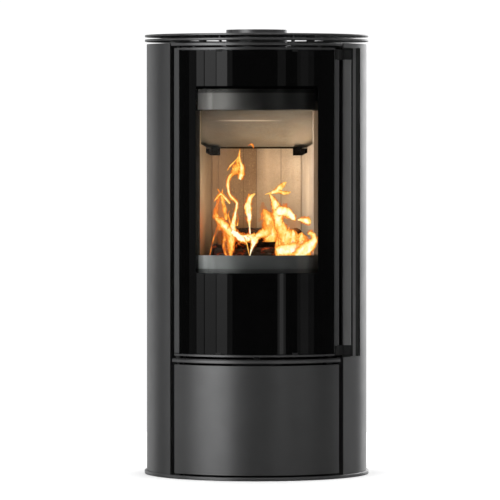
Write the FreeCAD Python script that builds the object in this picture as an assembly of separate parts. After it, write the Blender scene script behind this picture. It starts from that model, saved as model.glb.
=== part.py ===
import FreeCAD, Part
import math
import os

# Round free-standing wood stove. Millimetres, +Z up, the front faces -Y.
# Origin: centre of the base plate's underside.

# ---------------------------------------------------------------- dimensions
# casing
BASE_R = 275.0
BASE_T = 8.0
SHELL_RO = 269.5            # outside of the curved casing and the doors
SHELL_T = 2.0
SHELL_RI = SHELL_RO - SHELL_T
PANEL_EDGE = 51.0           # front edge of a side panel, degrees from the front
PANEL_END = 140.0
PANEL_Z0 = 8.0
PANEL_Z1 = 1051.5
RECESS_EDGE = 69.0          # far edge of the handle cut-out
RECESS_Z0 = 292.0
RECESS_Z1 = 1040.5

# doors
DOOR_HALF = 47.6            # half angle of both doors on the hinge side
DOOR_RIGHT = 47.5           # glass door, handle side
LOWER_RIGHT = 47.5          # lower door, catch side
DOOR_Z0 = 297.0
DOOR_Z1 = 1039.5
DOOR_RI = 254.0
GLASS_RO = 268.0
GLASS_T = 4.0
GLASS_HALF = 43.75
POCKET_HALF = 44.05
POCKET_R = 262.0
POCKET_Z0 = 301.5
POCKET_Z1 = 1035.0
WINDOW_HALF = 35.6
WINDOW_Z0 = 492.0
WINDOW_Z1 = 941.0
LOWER_Z0 = 12.5
LOWER_Z1 = 275.5
HINGE_R = 262.0             # radius and angles of the hinge line and the handle line
HINGE_ANG = 45.6
HANDLE_ANG = 46.3
PIN_R = 5.0
PIN_FIT = 0.05
HANDLE_PIN_R = 4.0

# ledge and top
LEDGE_Z0 = 281.0
LEDGE_Z1 = 290.5
HEADER_Z0, HEADER_Z1 = 1045.0, 1051.0
RING_Z0, RING_Z1 = 1057.5, 1063.0
TOP_Z0, TOP_Z1 = 1069.0, 1074.0
TOP_R = 274.0
RING_RI = 215.0
HEADER_RI = 185.0
FLUE_RO = 74.5
FLUE_T = 2.0
FLUE_Z0, FLUE_Z1 = 1006.0, 1087.0

# handle
BAR_X0, BAR_X1 = 208.0, 228.0
BAR_Y0, BAR_Y1 = -162.0, -150.0
ARM_LOW_Z0, ARM_LOW_Z1 = 298.0, 321.0
ARM_UP_Z0, ARM_UP_Z1 = 1011.5, 1036.0

# firebox
FRAME_RI, FRAME_RO = 240.0, 248.0
FRAME_HALF = 46.5
FB_FRONT_X, FB_FRONT_Y = 172.0, -168.5
FB_REAR_X, FB_REAR_Y = 152.0, 128.0
FB_T = 4.0
FB_TOP_Z = 1010.0
FLOOR_Z = 440.0
LIN_FRONT_X, LIN_REAR_X = 136.5, 112.0
LIN_REAR_Y = 93.0
LIN_T = 25.0
LIN_Z0, LIN_Z1 = 446.0, 1000.0

V = FreeCAD.Vector
OUT = "parts"
os.makedirs(OUT, exist_ok=True)


# ------------------------------------------------------------------- helpers
def pt(r, ang, z=0.0):
    """Point at radius r, ang degrees from the front towards +X."""
    a = math.radians(ang)
    return V(r * math.sin(a), -r * math.cos(a), z)


def disc(r, z0, z1, x=0.0, y=0.0):
    return Part.makeCylinder(r, z1 - z0, V(x, y, z0))


def ring(r0, r1, z0, z1, x=0.0, y=0.0):
    return disc(r1, z0, z1, x, y).cut(disc(r0, z0 - 1, z1 + 1, x, y))


def box(x0, x1, y0, y1, z0, z1):
    return Part.makeBox(x1 - x0, y1 - y0, z1 - z0, V(x0, y0, z0))


def sector(r0, r1, a0, a1, z0, z1):
    """Curved slab between two radii and two angles."""
    m = 0.5 * (a0 + a1)
    e = [
        Part.Arc(pt(r1, a0, z0), pt(r1, m, z0), pt(r1, a1, z0)).toShape(),
        Part.makeLine(pt(r1, a1, z0), pt(r0, a1, z0)),
        Part.Arc(pt(r0, a1, z0), pt(r0, m, z0), pt(r0, a0, z0)).toShape(),
        Part.makeLine(pt(r0, a0, z0), pt(r1, a0, z0)),
    ]
    return Part.Face(Part.Wire(e)).extrude(V(0, 0, z1 - z0))


def prism(points, z0, z1):
    """Upright prism on an XY outline."""
    p = [V(x, y, z0) for x, y in points]
    return Part.Face(Part.makePolygon(p + [p[0]])).extrude(V(0, 0, z1 - z0))


def fuse(*shapes):
    s = shapes[0]
    for t in shapes[1:]:
        s = s.fuse(t)
    return s.removeSplitter()


def mirror_x(shape):
    return shape.mirror(V(0, 0, 0), V(1, 0, 0))


def soften(shape, radius, pick):
    """Round the edges that pick() accepts."""
    edges = [e for e in shape.Edges if pick(e)]
    return shape.makeFillet(radius, edges) if edges else shape


def at_z(e, z):
    b = e.BoundBox
    return abs(b.ZMin - z) < 1e-6 and abs(b.ZMax - z) < 1e-6


def write(name, shape):
    if isinstance(shape, (list, tuple)):
        shape = Part.makeCompound(list(shape))
    assert shape.isValid(), name
    shape.exportStep(os.path.join(OUT, name + ".step"))


HINGE = pt(HINGE_R, -HINGE_ANG)
HANDLE = pt(HINGE_R, HANDLE_ANG)

# -------------------------------------------------------------------- casing
base = disc(BASE_R, 0, BASE_T)
base = soften(base, 1.5, lambda e: at_z(e, 0) or at_z(e, BASE_T))
screw_xy = [(pt(225, a).x, pt(225, a).y) for a in (40, 140, 220, 320)]
for x, y in screw_xy:
    base = base.cut(disc(5.1, -1, BASE_T + 1, x, y))
base = base.cut(disc(PIN_R + 0.02, 2.0, BASE_T + 1, HINGE.x, HINGE.y))
write("base_plate", base)

screws = []
for x, y in screw_xy:
    s = disc(5.0, 0.5, 7.5, x, y)
    hexa = [(x + 2.9 * math.cos(math.radians(60 * k)), y + 2.9 * math.sin(math.radians(60 * k))) for k in range(6)]
    screws.append(s.cut(prism(hexa, 3.5, 8.0)))
write("levelling_screws", screws)


def side_panel():
    """Right-hand casing panel with a folded front edge, before the cut-out."""
    skin = sector(SHELL_RI, SHELL_RO, PANEL_EDGE, PANEL_END, PANEL_Z0, PANEL_Z1)
    fold = sector(250.0, SHELL_RI, PANEL_EDGE, PANEL_EDGE + 0.45, PANEL_Z0, HEADER_Z0 - 1.0)
    return fuse(skin, fold)




def screw_axes(angles):
    return [(pt(1, a), pt(250.0, a, z)) for a in angles for z in (40, 380, 720, 1010)]


def drilled(shape, angles):
    for d, p in screw_axes(angles):
        shape = shape.cut(Part.makeCylinder(2.1, 40.0, p, d))
    return shape


write("left_side_panel", drilled(mirror_x(side_panel()), (221.0,)))
right = drilled(side_panel(), (139.0,)).cut(sector(245.0, SHELL_RO + 2, PANEL_EDGE - 1, RECESS_EDGE, RECESS_Z0, RECESS_Z1))
write("right_side_panel", right)

liner_x0, liner_back = 204.5, -98.0
liner = fuse(
    box(liner_x0, liner_x0 + 2, -146.0, liner_back + 2, 292.2, 1040.0),
    box(liner_x0, 248.0, liner_back, liner_back + 2, 292.2, 1040.0),
    box(237.0, 239.0, -110.0, liner_back, 292.2, 1040.0),
    box(233.5, 240.5, -110.0, -108.0, 292.2, 1040.0),
    box(liner_x0, 249.0, -150.0, liner_back + 2, 290.7, 292.2).common(disc(266.8, 285, 300)),
    box(liner_x0, 249.0, -150.0, liner_back + 2, 1040.0, 1042.0).common(disc(266.8, 1030, 1050)),
)
write("handle_recess_liner", liner)

INLET_Z = 225.0
rear = sector(265.0, 267.0, PANEL_END - 2.5, 360 - PANEL_END + 2.5, PANEL_Z0, HEADER_Z0 - 1.0)
rear = rear.cut(Part.makeCylinder(56.0, 60.0, V(0, 230, INLET_Z), V(0, 1, 0)))
for z in (60, 85, 110, 880, 905, 930, 955, 980):
    for x in (-110, -35, 40):
        rear = rear.cut(box(x, x + 65, 180, 280, z, z + 8))
write("rear_panel", drilled(rear, (139.0, 221.0)))

rear_screws = []
for d, p in screw_axes((139.0, 221.0)):
    head = Part.makeCylinder(4.6, 2.6, p + d * (SHELL_RO - 250.0 + 0.15), d)
    head = soften(head, 1.2, lambda e: e.BoundBox.Center.sub(p).dot(d) > 22.0 and len(e.Vertexes) == 1)
    rear_screws.append(fuse(head, Part.makeCylinder(2.0, 10.0, p + d * 10.0, d)))
write("rear_panel_screws", rear_screws)

shield = box(-150, 150, 160.0, 161.5, 330.0, 1000.0)
for z in (420, 900):
    for x in (-120, 120):
        shield = fuse(shield, box(x - 10, x + 10, 132.0, 160.0, z, z + 1.5))
write("rear_heat_shield", shield)

# --------------------------------------------------------- lower compartment
wall = box(176.0, 179.0, -165.0, 150.0, BASE_T, LEDGE_Z0)
write("compartment_right_wall", wall)
write("compartment_left_wall", mirror_x(wall))
back = box(-179.0, 179.0, 150.0, 153.0, BASE_T, LEDGE_Z0)
back = back.cut(Part.makeCylinder(49.1, 20.0, V(0, 140, INLET_Z), V(0, 1, 0)))
write("compartment_back_wall", back)

# ledge plate: the shelf between the compartment and the firebox
ledge = fuse(disc(264.5, LEDGE_Z0, LEDGE_Z1), sector(250.0, SHELL_RO, -50.2, 50.2, LEDGE_Z0, LEDGE_Z1))
for a0, a1 in ((-55.0, -49.3), (48.7, 55.0)):
    ledge = ledge.cut(sector(240.0, 275.0, a0, a1, LEDGE_Z0 - 1, LEDGE_Z1 + 1))
ledge = ledge.cut(disc(PIN_R + 0.02, LEDGE_Z0 - 1, LEDGE_Z1 + 1, HINGE.x, HINGE.y))
PIVOT_Y = -100.0
ledge = ledge.cut(disc(3.02, LEDGE_Z0 - 1, LEDGE_Z1 + 1, 0, PIVOT_Y))


def vent(half, spread):
    """Two opposite openings round the damper's pivot."""
    cutter = None
    for c in (0, 180):
        s = sector(16.0, 34.0, c - half, c + half, 0, 40)
        s.translate(V(0, PIVOT_Y, spread))
        cutter = s if cutter is None else cutter.fuse(s)
    cutter.rotate(V(0, PIVOT_Y, 0), V(0, 0, 1), 90)
    return cutter


ledge = ledge.cut(vent(28, LEDGE_Z0 - 10))
write("ledge_plate", ledge)

# air path: duct under the ledge, inlet spigot at the back
duct = fuse(box(-60.0, 60.0, -150.0, 149.5, 172.0, 173.5), box(-60.0, -58.5, -150.0, 149.5, 172.0, LEDGE_Z0),
            box(58.5, 60.0, -150.0, 149.5, 172.0, LEDGE_Z0), box(-60.0, 60.0, -150.0, -148.5, 172.0, LEDGE_Z0))
write("air_duct", duct)
inlet = fuse(Part.makeCylinder(49.0, 4.0, V(0, 150.0, INLET_Z), V(0, 1, 0)),
             Part.makeCylinder(54.5, 2.0, V(0, 153.0, INLET_Z), V(0, 1, 0)),
             Part.makeCylinder(49.5, 119.0, V(0, 155.0, INLET_Z), V(0, 1, 0)))
inlet = inlet.cut(Part.makeCylinder(47.5, 140, V(0, 145, INLET_Z), V(0, 1, 0)))
write("air_inlet_spigot", inlet)

# damper disc and its lever, in the slot under the door
DAMPER_Z0, DAMPER_Z1 = 291.5, 294.5
damper = disc(42.0, DAMPER_Z0, DAMPER_Z1, 0, PIVOT_Y)
damper = damper.cut(vent(28, DAMPER_Z0 - 10)).cut(disc(3.06, 280, 300, 0, PIVOT_Y))
lever = box(-6.0, 6.0, -262.0, PIVOT_Y - 38.0, DAMPER_Z0, DAMPER_Z1)
lever = fuse(lever, box(-9.0, 9.0, -262.0, -252.0, DAMPER_Z0, DAMPER_Z1))
lever = soften(lever, 3.0, lambda e: abs(e.BoundBox.ZLength - 3.0) < 1e-6 and e.BoundBox.YMax < -255)
write("air_damper", fuse(damper, lever))
pivot = fuse(disc(3.0, LEDGE_Z0, 298.0, 0, PIVOT_Y), disc(7.0, 295.0, 299.0, 0, PIVOT_Y))
write("damper_pivot", pivot)

# ------------------------------------------------------------------- firebox
slope = (FB_FRONT_X - FB_REAR_X) / (FB_FRONT_Y - FB_REAR_Y)


def fb_x(y):
    return FB_REAR_X + slope * (y - FB_REAR_Y)


fb_wall = prism([(FB_FRONT_X, FB_FRONT_Y), (FB_REAR_X, FB_REAR_Y), (FB_REAR_X - FB_T, FB_REAR_Y),
                 (FB_FRONT_X - FB_T, FB_FRONT_Y)], LEDGE_Z1, FB_TOP_Z).common(disc(239.8, 0, 1100))
write("firebox_right_wall", fb_wall)
write("firebox_left_wall", mirror_x(fb_wall))
write("firebox_back_wall", box(-FB_REAR_X, FB_REAR_X, FB_REAR_Y, FB_REAR_Y + FB_T, LEDGE_Z1, FB_TOP_Z))
plan = [(-FB_FRONT_X, FB_FRONT_Y), (FB_FRONT_X, FB_FRONT_Y), (FB_REAR_X, FB_REAR_Y + FB_T), (-FB_REAR_X, FB_REAR_Y + FB_T)]
front_bow = sector(150.0, 239.8, -45.0, 45.0, FB_TOP_Z, FB_TOP_Z + 5)
fb_top = fuse(prism(plan, FB_TOP_Z, FB_TOP_Z + 5), front_bow).cut(disc(FLUE_RO - 0.4, FB_TOP_Z - 1, FB_TOP_Z + 6))
write("firebox_top", fb_top.common(disc(239.8, 1000, 1100)))
inner = [(-FB_FRONT_X + FB_T + 0.4, FB_FRONT_Y), (FB_FRONT_X - FB_T - 0.4, FB_FRONT_Y),
         (FB_REAR_X - FB_T - 0.4, FB_REAR_Y), (-FB_REAR_X + FB_T + 0.4, FB_REAR_Y)]
fb_floor = fuse(prism(inner, FLOOR_Z, FLOOR_Z + 6), sector(150.0, 239.5, -42.0, 42.0, FLOOR_Z, FLOOR_Z + 6))
GX, GY0, GY1 = 80.0, -120.0, 30.0
fb_floor = fb_floor.cut(box(-GX + 8, GX - 8, GY0 + 8, GY1 - 8, FLOOR_Z - 1, FLOOR_Z + 7))
write("firebox_floor", fb_floor)

frame = sector(FRAME_RI, FRAME_RO, -FRAME_HALF, FRAME_HALF, DOOR_Z0, DOOR_Z1)
frame = frame.cut(sector(230.0, 260.0, -38.0, 38.0, 476.0, 955.0))
frame = frame.cut(sector(230.0, 260.0, -34.0, 34.0, 312.0, 428.0))
write("front_frame", frame)

grate = box(-GX, GX, GY0, GY1, FLOOR_Z + 6, FLOOR_Z + 20)
for k in range(11):
    x = -66.0 + 13.2 * k
    grate = grate.cut(box(x - 3.2, x + 3.2, GY0 + 14, GY1 - 14, FLOOR_Z, FLOOR_Z + 30))
write("grate", grate)

pan = box(-120, 120, -190, 60, 330, 420).cut(box(-118.5, 118.5, -188.5, 58.5, 331.5, 430))
pan = fuse(pan, box(-30, 30, -205, -190, 400, 402), box(-30, 30, -207, -205, 386, 402))
write("ash_pan", pan)
shelf = box(-160, 160, -190, 124, 327.0, 330.0)
shelf = shelf.common(prism(inner, 300, 400).fuse(sector(150.0, 239.0, -40.0, 40.0, 300, 400)))
write("ash_pan_shelf", shelf)

# lining
lin_slope = (LIN_FRONT_X - LIN_REAR_X) / (-190.0 - LIN_REAR_Y)


def lin_x(y):
    return LIN_REAR_X + lin_slope * (y - LIN_REAR_Y)


bound = disc(238.5, 0, 1100)
lining = prism([(lin_x(-215), -215), (lin_x(LIN_REAR_Y), LIN_REAR_Y), (lin_x(LIN_REAR_Y) + LIN_T, LIN_REAR_Y),
                (lin_x(-215) + LIN_T - 4.0, -215)], LIN_Z0, LIN_Z1)
steel_in = prism([(FB_FRONT_X - FB_T - 0.5, FB_FRONT_Y), (FB_REAR_X - FB_T - 0.5, FB_REAR_Y), (0, FB_REAR_Y),
                  (0, -260.0), (FB_FRONT_X - FB_T - 0.5, -260.0)], 0, 1100)
lining = lining.common(bound).common(steel_in)
# the side slabs' top edges drop a little towards the back, below the baffle; their front ends stand up beside it
cap = [V(0, -260, 888.0), V(0, -168, 888.0), V(0, -168, 807.9), V(0, -40, 800.0), V(0, 140, 797.0), V(0, 140, 1100), V(0, -260, 1100)]
lining = lining.cut(Part.Face(Part.makePolygon(cap + [cap[0]])).extrude(V(300, 0, 0)))
write("lining_right", lining)
write("lining_left", mirror_x(lining))
back_l = box(-137.0, -0.25, LIN_REAR_Y + 0.3, LIN_REAR_Y + 0.3 + LIN_T, LIN_Z0, LIN_Z1)
back_r = box(0.25, 137.0, LIN_REAR_Y + 0.3, LIN_REAR_Y + 0.3 + LIN_T, LIN_Z0, LIN_Z1)
for x in (-92.0, -31.0):
    back_l = back_l.cut(box(x - 0.9, x + 0.9, 80, LIN_REAR_Y + 2.3, LIN_Z0 - 1, LIN_Z1 + 1))
for x in (61.0, 90.0):
    back_r = back_r.cut(box(x - 0.9, x + 0.9, 80, LIN_REAR_Y + 2.3, LIN_Z0 - 1, LIN_Z1 + 1))
write("lining_back_left", back_l)
write("lining_back_right", back_r)

bricks = []
for s in (-1, 1):
    b = prism([(GX + 1, -215), (lin_x(-215) - 0.5, -215), (lin_x(LIN_REAR_Y) - 0.5, LIN_REAR_Y), (GX + 1, LIN_REAR_Y)],
              LIN_Z0, LIN_Z0 + 25).common(disc(222.0, 0, 1100))
    bricks.append(b if s > 0 else mirror_x(b))
bricks.append(box(-GX + 0.5, GX - 0.5, GY1 + 1, LIN_REAR_Y, LIN_Z0, LIN_Z0 + 25))
bricks.append(box(-GX + 0.5, GX - 0.5, -240, GY0 - 1, LIN_Z0, LIN_Z0 + 25).common(disc(222.0, 0, 1100)))
write("floor_bricks", bricks)

# baffle: slants down towards the back, its rear edge on two brackets
BAF_Z_FRONT, BAF_Z_REAR, BAF_T = 889.0, 800.0, 25.0
yz = [V(-200, -175, BAF_Z_FRONT), V(-200, LIN_REAR_Y - 0.5, BAF_Z_REAR), V(-200, LIN_REAR_Y - 0.5, BAF_Z_REAR + BAF_T),
      V(-200, -175, BAF_Z_FRONT + BAF_T)]
baffle = Part.Face(Part.makePolygon(yz + [yz[0]])).extrude(V(400, 0, 0))
baf_plan = prism([(-134.6, -185), (134.6, -185), (134.6, -167.5), (151.6, -167.5), (148.0, LIN_REAR_Y), (-148.0, LIN_REAR_Y),
                  (-151.6, -167.5), (-134.6, -167.5)], 700, 1000)
write("baffle_plate", baffle.common(baf_plan))
# corner brackets: one leg on the back slab, one along the side slab
brackets = []
for s in (-1, 1):
    leg = prism([(lin_x(-45) - 0.3, -45), (lin_x(LIN_REAR_Y) - 0.3, LIN_REAR_Y), (lin_x(LIN_REAR_Y) - 6.3, LIN_REAR_Y), (lin_x(-45) - 6.3, -45)],
                779.0, 796.5)
    trim = [V(0, -50, 770), V(0, -50, 786.5), V(0, 70, 779.0), V(0, 70, 770)]
    leg = leg.cut(Part.Face(Part.makePolygon(trim + [trim[0]])).extrude(V(300, 0, 0)))
    b = fuse(leg, box(90.0, 111.0, 62.0, LIN_REAR_Y, 779.0, 799.0))
    brackets.append(b if s > 0 else mirror_x(b))
write("baffle_brackets", brackets)

deflector = fuse(sector(233.0, 235.0, -37.0, 37.0, 891.0, 1009.8), sector(223.0, 235.0, -37.0, 37.0, 891.0, 893.0))
write("airwash_deflector", deflector)
guard = fuse(sector(240.5, 243.5, -37.5, 37.5, 507.0, 540.0), sector(234.0, 243.5, -34.8, 34.8, 507.0, 510.0),
             sector(234.0, 237.0, -34.8, 34.8, 447.0, 510.0), sector(238.8, 240.6, -37.5, 37.5, 480.0, 510.0))
write("log_guard", guard)

# ----------------------------------------------------------------- top works
flue = fuse(ring(FLUE_RO - FLUE_T, FLUE_RO - 0.5, FLUE_Z0, FB_TOP_Z + 5), ring(FLUE_RO - FLUE_T, 92.0, FB_TOP_Z + 5, FB_TOP_Z + 8),
            ring(FLUE_RO - FLUE_T, FLUE_RO, FB_TOP_Z + 8, FLUE_Z1))
write("flue_spigot", flue)
header = fuse(ring(HEADER_RI, 264.5, HEADER_Z0, HEADER_Z1), sector(250.0, SHELL_RO, -50.2, 50.2, HEADER_Z0, HEADER_Z1),
              sector(255.0, 267.0, 51.6, 308.4, HEADER_Z0, HEADER_Z1))
header = header.cut(disc(PIN_R + 0.02, HEADER_Z0 - 1, HEADER_Z1 + 1, HINGE.x, HINGE.y))
stud_xy = [(89.0, -217.5), (-89.0, -217.5), (89.0, 217.5), (-89.0, 217.5)]
for x, y in stud_xy:
    header = header.cut(disc(2.55, HEADER_Z0 - 1, HEADER_Z1 + 1, x, y))
write("header_ring", header)
posts = [disc(8.0, FB_TOP_Z + 5, HEADER_Z0, x, y) for x, y in ((150, -135), (-150, -135), (146, 126), (-146, 126))]
write("header_posts", posts)
conv = ring(RING_RI, TOP_R, RING_Z0, RING_Z1)
conv = soften(conv, 1.2, lambda e: (at_z(e, RING_Z0) or at_z(e, RING_Z1)) and e.BoundBox.XLength > 500)
for x, y in stud_xy:
    conv = conv.cut(disc(2.55, RING_Z0 - 1, RING_Z1 + 1, x, y))
write("convection_ring", conv)
top = ring(80.0, TOP_R, TOP_Z0, TOP_Z1)
top = soften(top, 1.2, lambda e: (at_z(e, TOP_Z0) or at_z(e, TOP_Z1)) and e.BoundBox.XLength > 500)
for x, y in stud_xy:
    top = top.cut(disc(2.55, TOP_Z0 - 1, TOP_Z0 + 3.5, x, y))
write("top_plate", top)
write("top_studs", [disc(2.5, HEADER_Z0, TOP_Z0 + 3.0, x, y) for x, y in stud_xy])
spacers = []
for x, y in ((132, -190), (-132, -190), (132, 190), (-132, 190)):
    spacers.append(box(x - 7.5, x + 7.5, y - 7.5, y + 7.5, HEADER_Z1, RING_Z0))
    spacers.append(box(x - 7.5, x + 7.5, y - 7.5, y + 7.5, RING_Z1, TOP_Z0))
write("top_spacers", spacers)

# ----------------------------------------------------------------- glass door
door = sector(DOOR_RI, SHELL_RO, -DOOR_HALF, DOOR_RIGHT, DOOR_Z0, DOOR_Z1)
door = door.cut(sector(POCKET_R, 275.0, -POCKET_HALF, POCKET_HALF, POCKET_Z0, POCKET_Z1))
door = door.cut(sector(245.0, 275.0, -WINDOW_HALF, WINDOW_HALF, WINDOW_Z0, WINDOW_Z1))
door = door.cut(disc(PIN_R + PIN_FIT, DOOR_Z0 - 1, 323.0, HINGE.x, HINGE.y))
door = door.cut(disc(PIN_R + PIN_FIT, 1013.0, DOOR_Z1 + 1, HINGE.x, HINGE.y))
# corners cleared for the handle arms, and the holes of their pivot pins
for z0, z1 in ((DOOR_Z0 - 1, ARM_LOW_Z1 + 1), (ARM_UP_Z0 - 1, DOOR_Z1 + 1)):
    door = door.cut(sector(245.0, 275.0, POCKET_HALF + 0.2, 52.0, z0, z1))
    door = door.cut(disc(8.4, z0, z1, HANDLE.x, HANDLE.y))
door = door.cut(disc(HANDLE_PIN_R + 0.02, ARM_LOW_Z1, 350.0, HANDLE.x, HANDLE.y))
door = door.cut(disc(HANDLE_PIN_R + 0.02, 984.0, ARM_UP_Z0, HANDLE.x, HANDLE.y))
write("door_frame", door)

glass = sector(GLASS_RO - GLASS_T, GLASS_RO, -GLASS_HALF, GLASS_HALF, 303.0, 1033.5)
write("door_glass", glass)
gasket = sector(POCKET_R, GLASS_RO - GLASS_T, -42.8, 42.8, 306.0, 1030.0)
gasket = gasket.cut(sector(POCKET_R - 5, 270.0, -36.8, 36.8, 487.0, 946.0))
write("glass_gasket", gasket)
clips = []
for a in (-20.0, 20.0):
    clips.append(fuse(sector(POCKET_R + 0.2, 269.3, a - 1.6, a + 1.6, 301.6, 302.8), sector(268.2, 269.3, a - 1.6, a + 1.6, 301.6, 307.0)))
    clips.append(fuse(sector(POCKET_R + 0.2, 269.3, a - 1.6, a + 1.6, 1033.7, 1034.9), sector(268.2, 269.3, a - 1.6, a + 1.6, 1029.5, 1034.9)))
write("glass_clips", clips)
seal = sector(FRAME_RO + 0.5, DOOR_RI, -44.0, 44.0, 302.0, 1034.0).cut(
    sector(FRAME_RO - 5, DOOR_RI + 5, -41.6, 41.6, 312.0, 1024.0))
write("door_seal", seal)

# hinge pins and washers
write("lower_hinge_pin", disc(PIN_R, 2.0, 38.0, HINGE.x, HINGE.y))
write("middle_hinge_pin", disc(PIN_R, 250.0, 321.0, HINGE.x, HINGE.y))
write("upper_hinge_pin", disc(PIN_R, 1015.0, HEADER_Z1 - 1.0, HINGE.x, HINGE.y))
write("hinge_washers", [ring(PIN_R + 0.06, 8.5, BASE_T, LOWER_Z0 - 0.1, HINGE.x, HINGE.y),
                        ring(PIN_R + 0.06, 8.5, LEDGE_Z1, DOOR_Z0 - 0.1, HINGE.x, HINGE.y)])

# -------------------------------------------------------------------- handle
bar = box(BAR_X0, BAR_X1, BAR_Y0, BAR_Y1, ARM_LOW_Z1, ARM_UP_Z0)
bar = soften(bar, 1.5, lambda e: e.BoundBox.ZLength > 100)
write("handle_bar", bar)


def arm(z0, z1):
    """Arm from the pivot to the bar; its pivot hole runs right through."""
    boss = disc(7.6, z0, z1, HANDLE.x, HANDLE.y)
    web = prism([(191.0, -188.3), (BAR_X0, BAR_Y0 - 2.0), (BAR_X1 + 1.0, BAR_Y0 - 2.0), (BAR_X1 + 1.0, BAR_Y1 + 2.0),
                 (BAR_X0 - 2.0, BAR_Y1 + 2.0), (188.0, -173.6)], z0, z1)
    return fuse(boss, web).cut(disc(HANDLE_PIN_R + PIN_FIT, z0 - 1, z1 + 1, HANDLE.x, HANDLE.y))


def hook(z0, z1):
    return fuse(box(187.0, 192.5, -173.0, -157.0, z0, z1), box(184.6, 192.5, -163.0, -157.0, z0, z1))


low_arm, up_arm = arm(ARM_LOW_Z0, ARM_LOW_Z1), arm(ARM_UP_Z0, ARM_UP_Z1)
low_hook = hook(ARM_LOW_Z0 + 4, ARM_LOW_Z1 - 4).cut(low_arm)
up_hook = hook(ARM_UP_Z0 + 4, ARM_UP_Z1 - 4).cut(up_arm)
write("lower_handle_arm", low_arm)
write("upper_handle_arm", up_arm)
write("latch_hooks", [low_hook, up_hook])
write("handle_pivot_pins", [disc(HANDLE_PIN_R, ARM_LOW_Z0 + 1, 348.0, HANDLE.x, HANDLE.y),
                            disc(HANDLE_PIN_R, 986.0, ARM_UP_Z1 - 1, HANDLE.x, HANDLE.y)])
write("latch_keepers", [sector(239.0, 246.0, FRAME_HALF, 48.2, ARM_LOW_Z0 + 2, ARM_LOW_Z1 - 2),
                        sector(239.0, 246.0, FRAME_HALF, 48.2, ARM_UP_Z0 + 2, ARM_UP_Z1 - 2)])

# ---------------------------------------------------------------- lower door
skin = sector(267.0, SHELL_RO, -DOOR_HALF, LOWER_RIGHT, LOWER_Z0, LOWER_Z1)
low = fuse(skin, sector(255.0, 267.0, -DOOR_HALF, LOWER_RIGHT, LOWER_Z0, LOWER_Z0 + 2.0),
           sector(255.0, 267.0, -DOOR_HALF, LOWER_RIGHT, LOWER_Z1 - 2.0, LOWER_Z1),
           sector(255.0, 267.0, -DOOR_HALF, -DOOR_HALF + 0.45, LOWER_Z0, LOWER_Z1),
           sector(255.0, 267.0, LOWER_RIGHT - 0.45, LOWER_RIGHT, LOWER_Z0, LOWER_Z1))
low = low.cut(disc(PIN_R + PIN_FIT, LOWER_Z0 - 1, LOWER_Z0 + 3, HINGE.x, HINGE.y))
low = low.cut(disc(PIN_R + PIN_FIT, LOWER_Z1 - 3, LOWER_Z1 + 1, HINGE.x, HINGE.y))
write("lower_door_panel", low)
blocks = []
for z0, z1 in ((LOWER_Z0 + 2, 40.0), (246.0, LOWER_Z1 - 2)):
    b = sector(255.0, 267.0, -DOOR_HALF + 0.45, -43.7, z0, z1)
    blocks.append(b.cut(disc(PIN_R + PIN_FIT, z0 - 1, z1 + 1, HINGE.x, HINGE.y)))
write("lower_door_hinge_blocks", blocks)
write("catch_strike", sector(255.4, 267.0, 41.5, 45.5, 250.0, LOWER_Z1 - 2.0))
write("magnet_catch", sector(240.0, 254.6, 41.5, 45.5, 254.0, LEDGE_Z0))
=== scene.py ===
import math
import random

import bmesh
import bpy
from mathutils import Matrix, Vector, noise


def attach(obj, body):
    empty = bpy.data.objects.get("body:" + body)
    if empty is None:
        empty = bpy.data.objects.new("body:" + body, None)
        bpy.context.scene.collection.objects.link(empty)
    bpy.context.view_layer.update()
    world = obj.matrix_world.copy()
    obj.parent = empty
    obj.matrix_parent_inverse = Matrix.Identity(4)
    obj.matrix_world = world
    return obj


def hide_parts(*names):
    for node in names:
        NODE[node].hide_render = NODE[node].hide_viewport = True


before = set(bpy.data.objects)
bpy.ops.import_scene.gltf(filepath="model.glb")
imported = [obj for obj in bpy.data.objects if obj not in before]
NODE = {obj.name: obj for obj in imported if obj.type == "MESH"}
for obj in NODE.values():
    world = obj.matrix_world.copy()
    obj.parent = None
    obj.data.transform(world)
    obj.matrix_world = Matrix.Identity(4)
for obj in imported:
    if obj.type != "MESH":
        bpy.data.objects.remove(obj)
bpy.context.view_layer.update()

scene = bpy.context.scene
BODY = "stove_body"
DOOR = "glass_door"

# --------------------------------------------------------------------- view
cam_data = bpy.data.cameras.new("camera")
cam_data.sensor_width = 36.0
cam_data.lens = 322.7
cam_data.clip_start, cam_data.clip_end = 0.1, 100.0
cam = bpy.data.objects.new("camera", cam_data)
cam.location = (-0.0163, -11.0, 0.841)
cam.rotation_euler = (math.radians(88.470), 0.0, 0.0)
scene.collection.objects.link(cam)
scene.camera = cam
scene.view_settings.view_transform = "Standard"
scene.view_settings.look = "None"
scene.view_settings.exposure = 0.0
scene.view_settings.gamma = 1.0


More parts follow.
